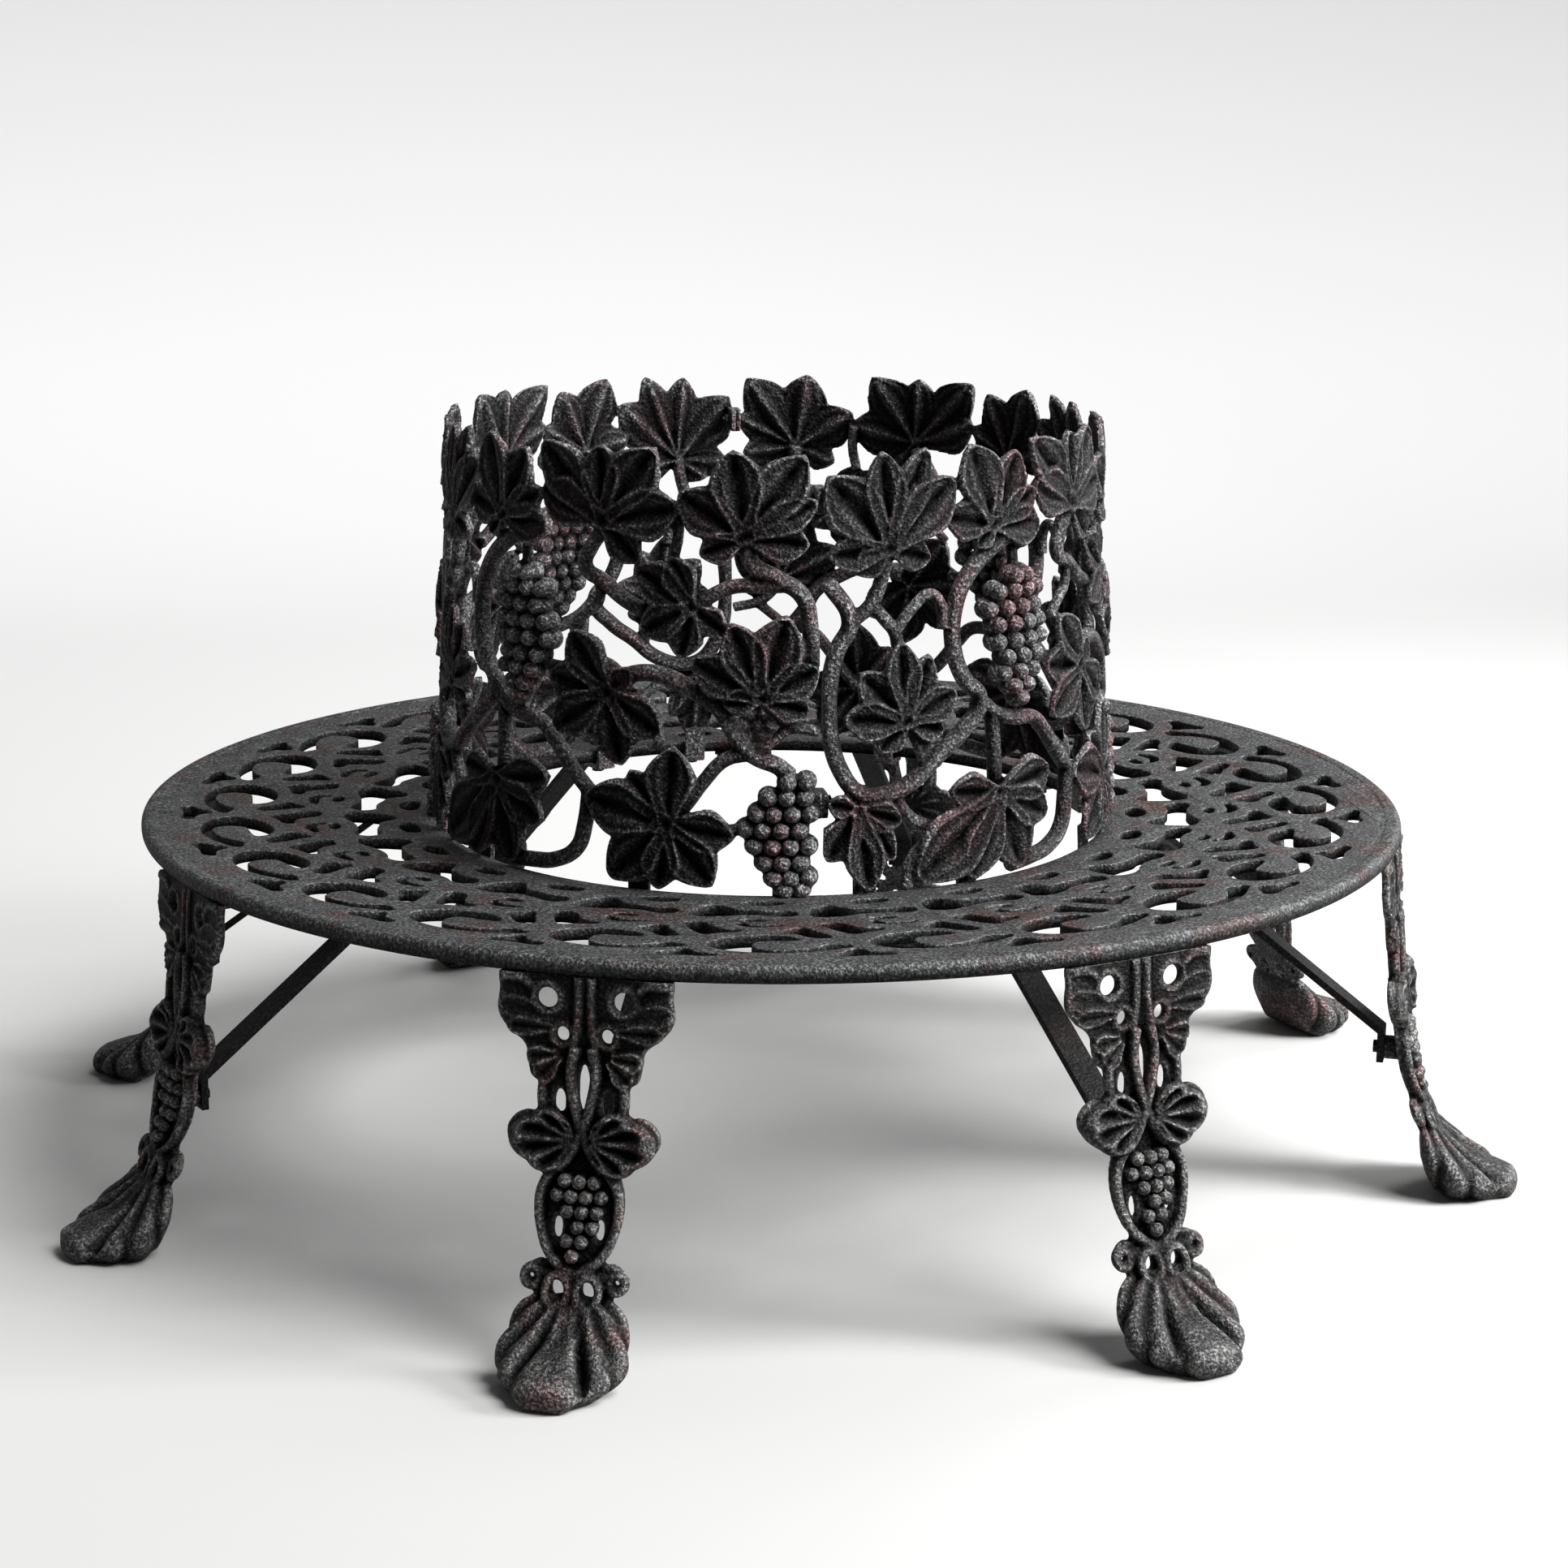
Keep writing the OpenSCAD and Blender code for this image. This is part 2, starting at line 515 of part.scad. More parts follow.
module leg() {
    difference() {
        union() {
            leg_panel(312, 404, leg_plate) top_plate();
            leg_panel(312, 404, leg_plate + 3) top_folds();
            leg_panel(205, 312, leg_plate) crossing_stems();
            leg_panel(205, 260, leg_plate + 1) knot_leaves();
            leg_panel(205, 260, leg_plate + 4) knot_veins();
            leg_panel(100, 218, leg_plate) grape_frame();
            leg_panel(72, 105, leg_plate + 2) loops();
            leg_grapes();
            foot();
            // flange that lies under the rim of the seat
            translate([brace_face_r - flange_deep, -leg_width * flange_share / 2, flange_z - flange_t])
                cube([flange_deep, leg_width * flange_share, flange_t]);
            translate([brace_face_r, 0, brace_height]) rotate([0, 90, 0])
                cylinder(r = brace_boss_r, h = leg_x(brace_height) - brace_face_r, $fn = 40);
        }
        for (side = [-1, 1]) translate([flange_screw_r, side * flange_screw_t, flange_z - flange_t - 1])
            cylinder(d = hole_d, h = flange_t + 2, $fn = 32);
        translate([brace_face_r - 1, 0, brace_height]) rotate([0, 90, 0])
            cylinder(d = hole_d, h = thread + 2, $fn = 32);
        // the top ends flat where it meets the rim
        translate([seat_r - rim_depth * 3, -leg_width, flange_z])
            cube([rim_depth * 4, leg_width * 2, rim_depth * 2]);
    }
}

// a bent strip of even thickness along points [distance, height]
function strip_side(p, off) = [for (i = [0 : len(p) - 1])
    let (a = p[max(i - 1, 0)], b = p[i], c = p[min(i + 1, len(p) - 1)],
         u = i > 0 ? (b - a) / norm(b - a) : (c - b) / norm(c - b),
         v = i < len(p) - 1 ? (c - b) / norm(c - b) : (b - a) / norm(b - a),
         w = (u + v) / norm(u + v), k = off / (w * u))
    b + k * [-w[1], w[0]]];

module brace() {
    h = brace_thickness / 2;
    lower_x = brace_face_r - h;
    path = [[brace_reach - 15, brace_top_z - h], [brace_reach + 16, brace_top_z - h],
        [lower_x, brace_height + 22], [lower_x, brace_height - 15]];
    difference() {
        rotate([90, 0, 0]) translate([0, 0, -brace_width / 2]) linear_extrude(brace_width) line(h, path);
        translate([brace_reach, 0, brace_top_z - brace_thickness - 1])
            cylinder(d = hole_d, h = brace_thickness + 2, $fn = 32);
        translate([brace_face_r - brace_thickness - 1, 0, brace_height]) rotate([0, 90, 0])
            cylinder(d = hole_d, h = brace_thickness + 2, $fn = 32);
    }
}

// a hexagon screw whose head sits under z = 0 and whose shank points up
module hex_screw(shank) {
    translate([0, 0, -hex_high]) cylinder(d = hex_across * 1.1547, h = hex_high, $fn = 6);
    cylinder(d = screw, h = shank, $fn = 24);
}

module hex_nut() {
    difference() {
        cylinder(d = hex_across * 1.1547, h = hex_high, $fn = 6);
        translate([0, 0, -1]) cylinder(d = screw + 0.2, h = hex_high + 2, $fn = 24);
    }
}

module leg_screws() {
    for (q = [1 : 4]) for (a = leg_angles) rotate(quarter_turn(q) + a) for (side = [-1, 1])
        translate([flange_screw_r, side * flange_screw_t, flange_z - flange_t])
            hex_screw(flange_t + thread);
}

module brace_seat_screws() {
    for (q = [1 : 4]) for (a = leg_angles) rotate(quarter_turn(q) + a)
        translate([brace_reach, 0, brace_top_z - brace_thickness]) hex_screw(brace_thickness + thread);
}

module brace_leg_screws() {
    for (q = [1 : 4]) for (a = leg_angles) rotate(quarter_turn(q) + a)
        translate([brace_face_r - brace_thickness, 0, brace_height]) rotate([0, 90, 0])
            hex_screw(brace_thickness + thread);
}

module back_foot_screws() {
    for (q = [1 : 4]) for (a = tab_angles) rotate(quarter_turn(q) + a)
        translate([tab_r, 0, tab_z - tab_t]) hex_screw(tab_t + thread);
}

// a bolt across a joint of two lugs, head on one side and nut on the other
module joint_bolt(lug) {
    translate([0, -lug, 0]) rotate([-90, 0, 0]) hex_screw(2 * lug + hex_high + 3);
}

module joint_nut(lug) {
    translate([0, lug, 0]) rotate([-90, 0, 0]) hex_nut();
}

module at_seat_joints() {
    for (q = [1 : 4]) rotate(quarter_turn(q)) for (r = seat_lug_r) translate([r, 0, seat_bolt_z(r)])
        children();
}

module at_back_joints() {
    for (q = [1 : 4]) rotate(quarter_turn(q)) for (h = lug_heights) let (z = back_z0 + h * back_h)
        translate([ring_r(z) - back_bolt_in, 0, z]) children();
}

module seat_joint_bolts() { at_seat_joints() joint_bolt(seat_lug[1]); }
module seat_joint_nuts() { at_seat_joints() joint_nut(seat_lug[1]); }
module back_joint_bolts() { at_back_joints() joint_bolt(back_lug[1]); }
module back_joint_nuts() { at_back_joints() joint_nut(back_lug[1]); }

module seat_quarter_at(k) { color(worn_iron) rotate(quarter_turn(k)) seat_quarter(); }
module back_quarter_at(k) { color(iron) rotate(quarter_turn(k)) back_quarter(); }
module leg_at(k) { color(iron) rotate(45 * (k - 1) + 22.5 - 90) leg(); }
module brace_at(k) { color(bolt_iron) rotate(45 * (k - 1) + 22.5 - 90) brace(); }

seat_quarter_at(1);  // seat_quarter_1
seat_quarter_at(2);  // seat_quarter_2
seat_quarter_at(3);  // seat_quarter_3
seat_quarter_at(4);  // seat_quarter_4
back_quarter_at(1);  // back_quarter_1
back_quarter_at(2);  // back_quarter_2
back_quarter_at(3);  // back_quarter_3
back_quarter_at(4);  // back_quarter_4
leg_at(1);  // leg_1
leg_at(2);  // leg_2
leg_at(3);  // leg_3
leg_at(4);  // leg_4
leg_at(5);  // leg_5
leg_at(6);  // leg_6
leg_at(7);  // leg_7
leg_at(8);  // leg_8
brace_at(1);  // brace_1
brace_at(2);  // brace_2
brace_at(3);  // brace_3
brace_at(4);  // brace_4
brace_at(5);  // brace_5
brace_at(6);  // brace_6
brace_at(7);  // brace_7
brace_at(8);  // brace_8
color(bolt_iron) leg_screws();
color(bolt_iron) brace_seat_screws();
color(bolt_iron) brace_leg_screws();
color(bolt_iron) back_foot_screws();
color(bolt_iron) seat_joint_bolts();
color(bolt_iron) seat_joint_nuts();
color(bolt_iron) back_joint_bolts();
color(bolt_iron) back_joint_nuts();
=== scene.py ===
# %% [markdown]
# # A cast-iron tree bench
# The bench stands round a tree. Four pierced castings make the seat, four vine castings make the
# back, and eight leafy legs carry the rim. The engineered solids come in as a fixed frame, and this
# notebook gives them their real surfaces: carved leaves, round grapes, rolled edges and rough iron.
# Every size below is in millimetres, because founders and pattern makers work in them, and one
# factor turns the finished castings into Blender's metres.

# %% Load the frame
import math

import bmesh
import bpy
import numpy as np
from mathutils import Matrix, Vector


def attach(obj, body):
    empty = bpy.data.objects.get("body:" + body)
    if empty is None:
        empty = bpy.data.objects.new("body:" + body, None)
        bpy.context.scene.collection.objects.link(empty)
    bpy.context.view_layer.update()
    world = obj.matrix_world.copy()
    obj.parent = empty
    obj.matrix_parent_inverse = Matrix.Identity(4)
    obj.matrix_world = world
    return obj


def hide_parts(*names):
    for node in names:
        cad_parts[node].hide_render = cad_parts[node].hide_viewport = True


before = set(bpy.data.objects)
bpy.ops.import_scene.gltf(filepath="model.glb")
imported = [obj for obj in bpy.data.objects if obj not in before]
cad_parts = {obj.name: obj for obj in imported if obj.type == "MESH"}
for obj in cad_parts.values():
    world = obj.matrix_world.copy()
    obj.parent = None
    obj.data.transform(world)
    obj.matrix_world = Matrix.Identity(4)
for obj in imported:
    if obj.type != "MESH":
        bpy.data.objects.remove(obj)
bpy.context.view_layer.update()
scene = bpy.context.scene
MM = 0.001
print("the frame holds", len(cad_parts), "nodes")

# %% [markdown]
# ## Camera
# The camera was worked out from the bench itself: the ellipses of the seat's rim, the toes and the
# sides of the back ring all have to fall where the photograph has them. A long lens from four
# metres away gives the slight view down on the seat.

# %% Camera
LENS, SENSOR = 76.84, 36
YAW_DEG, PITCH_DEG, ROLL_DEG = -0.212, -13.086, -0.298
EYE = (0, -3.94088, 1.35215)
# one joint of the castings faces -Y, and in the photograph it stands this far right of the middle
JOINT_TURN = math.radians(8.05)
camera_data = bpy.data.cameras.new("camera")
camera_data.sensor_width = SENSOR
camera_data.lens = LENS
camera = bpy.data.objects.new("camera", camera_data)
scene.collection.objects.link(camera)
scene.camera = camera
turn = Matrix.Rotation(math.radians(YAW_DEG) - JOINT_TURN, 4, "Z")
pitch = Matrix.Rotation(math.radians(PITCH_DEG), 4, "X")
roll = Matrix.Rotation(math.radians(ROLL_DEG), 4, "Y")
upright = Matrix.Rotation(math.radians(90), 4, "X")
place = Matrix.Rotation(-JOINT_TURN, 4, "Z") @ Vector(EYE)
camera.matrix_world = Matrix.Translation(place) @ turn @ pitch @ roll @ upright
print("camera at", [round(c, 3) for c in camera.location])

# %% [markdown]
# ## Sizes
# These are the bench's own driving sizes, in millimetres and degrees. The back leans in a little
# as it rises, and the seat falls towards the hole, so two short functions give the radius of the
# back and the height of the seat. DEG_MM is what one degree of the back measures on its drawing.

# %% Driving sizes
SEAT_R = 750
HOLE_R = 398
SEAT_Z = 424
SEAT_DISH = 21
SEAT_PLATE = 14
RIM_DEPTH = 20
BACK_R = 397
BACK_LEAN = 24
BACK_Z0 = 404
BACK_H = 489
DEG_MM = 6.72
JOINT_GAP = 0.6


def seat_top(r):
    return SEAT_Z - SEAT_DISH * (SEAT_R - r) / (SEAT_R - HOLE_R)


def ring_r(z):
    return BACK_R - BACK_LEAN * (z - BACK_Z0) / BACK_H


print("the seat is", round(seat_top(HOLE_R)), "mm high at the hole and", SEAT_Z, "mm at the rim")

# %% [markdown]
# ## Small helpers
# A casting is built the way a pattern maker carves it: many simple closed shapes are laid over each
# other, and a voxel remesh then melts them into one skin with soft inner corners, just as iron
# flows round a fillet. These helpers turn a bmesh into an object, melt it and collect the result.


# %% Mesh helpers
EASE_ROUNDS = 2


def to_mesh(bm, name):
    """A finished bmesh becomes a mesh."""
    mesh = bpy.data.meshes.new(name)
    bm.to_mesh(mesh)
    bm.free()
    return mesh


def shown(name, data):
    """An object in the scene, at the origin."""
    made = bpy.data.objects.new(name, data)
    scene.collection.objects.link(made)
    return made


def as_mesh(source):
    """What an object looks like with its modifiers or bevels applied. The object itself goes."""
    bpy.context.view_layer.update()
    graph = bpy.context.evaluated_depsgraph_get()
    mesh = bpy.data.meshes.new_from_object(source.evaluated_get(graph))
    bpy.data.objects.remove(source)
    return mesh


def melted(source, voxel, keep):
    """One closed skin over all the overlapping shapes of an object, smoothed and thinned."""
    remesh = source.modifiers.new("melt", "REMESH")
    remesh.mode = "VOXEL"
    remesh.voxel_size = voxel
    ease = source.modifiers.new("ease", "SMOOTH")
    ease.factor = 0.5
    ease.iterations = EASE_ROUNDS
    thin = source.modifiers.new("thin", "DECIMATE")
    thin.ratio = keep
    return as_mesh(source)


def smooth(mesh):
    mesh.polygons.foreach_set("use_smooth", [True] * len(mesh.polygons))


def joined(first, second):
    """One mesh with the shells of both."""
    bm = bmesh.new()
    bm.from_mesh(first)
    bm.from_mesh(second)
    bm.to_mesh(first)
    bm.free()
    bpy.data.meshes.remove(second)
    return first


def add_curve(bm, curve):
    """A curve's bevelled surface is added to a bmesh."""
    mesh = as_mesh(shown("holder", curve))
    bm.from_mesh(mesh)
    bpy.data.meshes.remove(mesh)
    bpy.data.curves.remove(curve)


def new_stems():
    """A bundle of round stems. Its bevel is 1 mm, so a knot's radius is the stem's own in mm."""
    curve = bpy.data.curves.new("stems", "CURVE")
    curve.dimensions = "3D"
    curve.bevel_depth = 1
    curve.bevel_resolution = 3
    curve.resolution_u = 6
    curve.use_fill_caps = True
    return curve


def new_plate(thick, edge_round):
    """A flat plate that fills its outline, less its holes, with rounded edges."""
    curve = bpy.data.curves.new("plate", "CURVE")
    curve.dimensions = "2D"
    curve.fill_mode = "BOTH"
    curve.bevel_depth = edge_round
    curve.bevel_resolution = 2
    curve.offset = -edge_round
    curve.extrude = thick / 2 - edge_round
    curve.resolution_u = 5
    return curve


def add_spline(curve, points, radii, closed=False):
    """A smooth line through points, with its own thickness at each of them."""
    spline = curve.splines.new("BEZIER")
    spline.bezier_points.add(len(points) - 1)
    for knot, point, radius in zip(spline.bezier_points, points, radii):
        knot.co = point
        knot.radius = radius
        knot.handle_left_type = "AUTO"
        knot.handle_right_type = "AUTO"
    spline.use_cyclic_u = closed


print("mesh helpers are ready")

# %% [markdown]
# ## Saws and plain shapes
# Castings meet at straight joints, so one helper saws a mesh along planes and closes each cut.
# Bosses, lugs and flanges are plain cylinders and blocks.


# %% Saws, cylinders and blocks
ROUND_SIDES = 32


def only(kind, geometry):
    return [part for part in geometry if isinstance(part, kind)]


def cut_flat(bm, point, normal):
    """Everything in front of a plane goes, and the cut is closed again."""
    everything = bm.verts[:] + bm.edges[:] + bm.faces[:]
    cut = bmesh.ops.bisect_plane(
        bm, geom=everything, plane_co=point, plane_no=normal, clear_outer=True
    )
    bmesh.ops.holes_fill(bm, edges=only(bmesh.types.BMEdge, cut["geom_cut"]), sides=0)


def drop_flakes(bm):
    """Thinning can leave two faces back to back on the same three points; such flakes go."""
    flakes = [face for face in bm.faces
              if len({near for edge in face.edges for near in edge.link_faces}) == 2]
    bmesh.ops.delete(bm, geom=flakes, context="FACES")
    print("flakes taken off:", len(flakes))


def sawn(mesh, cuts):
    """A mesh without its flakes and without what lies beyond its cuts, given as (point, normal)."""
    bm = bmesh.new()
    bm.from_mesh(mesh)
    drop_flakes(bm)
    for point, normal in cuts:
        cut_flat(bm, point, normal)
    bm.to_mesh(mesh)
    bm.free()
    return mesh


def cylinder(bm, centre, axis, radius, length):
    """A plain round boss that starts at centre and runs along axis."""
    direction = Vector(axis).normalized()
    tilt = direction.to_track_quat("Z", "Y").to_matrix().to_4x4()
    middle = Matrix.Translation(Vector(centre) + direction * (length / 2))
    bmesh.ops.create_cone(
        bm, cap_ends=True, segments=ROUND_SIDES, radius1=radius, radius2=radius,
        depth=length, matrix=middle @ tilt,
    )


def flat_grid(bm, across, along, size):
    """The points of a flat grid of faces, to be moved to a shape."""
    return bmesh.ops.create_grid(bm, x_segments=across, y_segments=along, size=size)["verts"]


def block(bm, low, high):
    """A box between two corners."""
    low, high = Vector(low), Vector(high)
    size = Matrix.Diagonal((*(high - low), 1))
    bmesh.ops.create_cube(bm, size=1, matrix=Matrix.Translation((low + high) / 2) @ size)


print("a boss has", ROUND_SIDES, "sides")

# %% [markdown]
# ## Wear and painted shade
# Old iron is bright where hands, coats and rain rub it. Each casting keeps one number a point for
# this, from 0 in a hollow to 1 on an edge, and the same number paints shade and light: hollows are
# painted near black as painted shade, and edges bright as painted highlights, on top of the lamps.
# It is worked out from the shape: a point that stands out from the average of its neighbours gets a
# high number.


# %% Wear and painted shade helpers
WEAR_AND_SHADE_ROUNDS = 14
BRIGHT_SHARE = 92


def points_of(mesh):
    """All points of a mesh, as rows of x, y and z."""
    co = np.empty(len(mesh.vertices) * 3)
    mesh.vertices.foreach_get("co", co)
    return co.reshape(-1, 3)


def store_wear_and_shade(mesh, level):
    wear_and_shade = mesh.attributes.get("wear_and_shade") or mesh.attributes.new("wear_and_shade", "FLOAT", "POINT")
    wear_and_shade.data.foreach_set("value", np.clip(level, 0, 1).astype(np.float32))


def mark_wear_and_shade(mesh):
    """Stores how far each point stands out of its surroundings, for wear and for painted shade and
    highlights. The most raised eight in a hundred points count as fully rubbed and fully lit."""
    start = points_of(mesh)
    count = len(start)
    normal = np.empty(count * 3)
    mesh.vertex_normals.foreach_get("vector", normal)
    ends = np.empty(len(mesh.edges) * 2, dtype=np.int32)
    mesh.edges.foreach_get("vertices", ends)
    a, b = ends.reshape(-1, 2).T
    degree = np.maximum(np.bincount(ends, minlength=count), 1)[:, None]
    soft = start.copy()
    for _ in range(WEAR_AND_SHADE_ROUNDS):
        total = np.zeros_like(soft)
        for axis in range(3):
            total[:, axis] = (np.bincount(a, soft[b, axis], count)
                              + np.bincount(b, soft[a, axis], count))
        soft = total / degree
    stand = ((start - soft) * normal.reshape(-1, 3)).sum(1)
    scale = np.percentile(np.abs(stand), BRIGHT_SHARE) + 1e-9
    store_wear_and_shade(mesh, 0.5 + 0.5 * stand / scale)


print("wear helpers are ready")

# %% [markdown]
# ## One lobe of a vine leaf
# Each lobe of these leaves is a fat cushion with a point: its vein is a groove that runs out from
# the stalk, the iron swells on both sides of it, and a thin cord follows the rolled edge.
# It starts as a flat grid whose points are moved to the lobe's outline and height, and an extrusion
# of the whole grid gives it the thickness of iron, so that the back of a leaf shows the relief too.
# The panel is drawn flat, with X to the right, Z up and the viewer on the -Y side.


# %% Leaf lobes
LOBE_CELLS = 20
LOBE_WALL = 7.5
LOBE_SWELL = 7.0
LEAST_LOBE = 15
EDGE_ROLL = 4.5


def smooth_step(x):
    """0 below 0, 1 above 1, and a soft rise between."""
    x = min(max(x, 0), 1)
    return x * x * (3 - 2 * x)


def bump(x, width):
    """1 where x is 0, and a soft fall to 0 on both sides."""
    return math.exp(-((x / width) ** 2))


def thickened(bm, grid, rolls, wall):
    """A carved sheet gets its back, a wall away from its face. Then its edge rolls away."""
    faces = list(dict.fromkeys(face for vert in grid for face in vert.link_faces))
    grown = bmesh.ops.extrude_face_region(bm, geom=faces)
    for vert in only(bmesh.types.BMVert, grown["geom"]):
        vert.co.y += wall
    for vert, roll in rolls.items():
        vert.co.y += roll


def lobe(bm, base, tip, width, crown, front, wall=LOBE_WALL, swell=LOBE_SWELL, full=0.56):
    """A cushion from base to tip, given as points on the flat panel, that narrows beyond full."""
    start, way = Vector(base), Vector(tip) - Vector(base)
    side = Vector((-way.y, way.x)).normalized()
    grid = flat_grid(bm, LOBE_CELLS, LOBE_CELLS, 0.5)
    rolls = {}
    for vert in grid:
        s, t = vert.co.x + 0.5, 2 * vert.co.y
        past = max(0, (s - full) / (1 - full))
        neck = 0.36 + 0.64 * smooth_step(s / 0.62)
        half = width / 2 * neck * max(0, 1 - past**1.75) ** 0.9
        edge = max(abs(t), past**2)
        vein = bump(t, 0.28) * smooth_step((0.97 - s) / 0.22)
        cord = 2.6 * bump(edge - 0.84, 0.09) - 1.4 * bump(edge - 0.62, 0.10)
        height = crown * math.sin(math.pi * min(0.8 * s + 0.1, 1)) + swell * (1 - vein) + cord
        spot = start + way * s + side * (half * t)
        vert.co = (spot.x, -(front + height), spot.y)
        rolls[vert] = EDGE_ROLL * smooth_step((edge - 0.84) / 0.16)
    thickened(bm, grid, rolls, wall)


def leaf(bm, base, tips, front):
    """A leaf of several lobes that meet at its stalk, each as wide as its neighbours leave it.
    Every second lobe lies a little higher, so that two neighbours never lie flush."""
    ways = [Vector(tip) - Vector(base) for tip in tips]
    angles = [math.atan2(way.y, way.x) for way in ways]
    for index, way in enumerate(ways):
        gaps = []
        for other, angle in enumerate(angles):
            if other != index:
                gaps.append(abs((angle - angles[index] + math.pi) % (2 * math.pi) - math.pi))
        spread = min(sum(sorted(gaps)[:2]) / 2, 1.0)
        width = min(1.75 * way.length * math.tan(spread / 2), 0.6 * way.length + 8)
        crown = 1.5 + 0.04 * way.length
        lobe(bm, base, tips[index], max(width, LEAST_LOBE), crown, front + 1.2 * (index % 2))


print("a lobe's face has", LOBE_CELLS**2, "cells before it is melted")

# %% [markdown]
# ## Shell leaves and grapes
# The small leaves at the knot of a leg are rounded like scallop shells, so their grid is laid out
# as a fan round the stalk. A grape is a small ball, and a bunch is many of them.


# %% Shell leaf and grape
SHELL_REACH = 66
SHELL_SPREAD = 1.4
SHELL_RIBS = 6


def shell_leaf(bm, stalk, side, front, wall):
    """A rounded leaf like a scallop shell: ribs fan out from its stalk to a rolled, wavy edge.
    Its outline is an oval that starts at the stalk, with three shallow waves round it."""
    grid = flat_grid(bm, 24, 48, 0.5)
    rolls = {}
    for vert in grid:
        u, v = vert.co.x + 0.5, 2 * vert.co.y
        angle = SHELL_SPREAD * v
        wave = abs(math.cos(1.5 * math.pi * v))
        oval = math.cos(angle) / (math.cos(angle) ** 2 + 1.15 * math.sin(angle) ** 2)
        reach = SHELL_REACH * oval * (0.86 + 0.14 * wave) * (1 - 0.10 * v)
        edge = max(u, abs(v) ** 3)
        ribs = math.cos(SHELL_RIBS * math.pi * v) * smooth_step(u / 0.35)
        ribs *= 1 - smooth_step((u - 0.74) / 0.2)
        height = 8 + 4.0 * bump(u - 0.86, 0.13) + 3.4 * ribs - 2 * bump(u - 0.5, 0.25)
        rolls[vert] = EDGE_ROLL * smooth_step((edge - 0.88) / 0.12)
        run = 4 + reach * u
        spot = (stalk[0] + side * run * math.cos(angle), stalk[1] + run * math.sin(angle))
        vert.co = (spot[0], -(front + height), spot[1])
    thickened(bm, grid, rolls, wall)


def berry(bm, spot, depth, radius):
    """One grape, at a spot on the drawing and so far in front of it."""
    bmesh.ops.create_icosphere(
        bm, subdivisions=2, radius=radius, matrix=Matrix.Translation((spot[0], -depth, spot[1]))
    )


print("a shell leaf reaches", SHELL_REACH, "mm")

# %% [markdown]
# ## The vine of one quarter of the back
# The back is one drawing repeated four times. Its leaves, stems and grapes are listed as they are
# seen on the bench, in degrees along the quarter and millimetres above the floor, so that each line
# can be checked against the photograph. Stems that lie on top of others come forward a little.

# %% Drawing of the back
LEAVES = [
    ((11, 782), [(18.5, 768), (22.9, 856), (17.8, 893), (9.8, 890), (0.6, 862), (0.6, 776),
                 (5, 756)], 0),
    ((31, 800), [(42.3, 792), (41, 834), (36.8, 879), (26, 893), (20.9, 812), (27, 776)], 1),
    ((53.2, 808), [(60, 764), (67, 826), (62.5, 892), (52.6, 893), (40.3, 891), (40.6, 838)], 0),
    ((77.5, 797), [(88, 788), (89.4, 836), (87.3, 887), (75.3, 893), (66.3, 842), (70, 776)], 1),
    ((68.9, 720), [(74.5, 692), (65.3, 774), (59.2, 760), (60.2, 688), (67, 662)], 0),
    ((80.4, 622), [(88, 607), (89.4, 656), (84.3, 714), (75.3, 705), (68.8, 663), (74, 616)], 3),
    ((54.7, 620), [(57.3, 539), (64.4, 577), (59, 647), (47.4, 685), (43, 632), (44.4, 572)], 1),
    ((65.2, 480), [(76.3, 468), (66.2, 567), (58.6, 536), (50.8, 504), (55.5, 413), (64, 405),
                   (72.7, 412)], 1),
    ((5.6, 497), [(12.9, 481), (0.6, 506), (0.6, 440), (7.4, 405), (11.6, 438)], 1),
    ((31.3, 500), [(43.6, 516), (21.2, 509), (15, 412), (25, 405), (36, 407), (42.6, 464)], 1),
    ((13.8, 592), [(20.5, 578), (22.8, 622), (18, 665), (12.7, 683), (5.9, 649), (3.1, 598),
                   (9, 560)], 1),
]

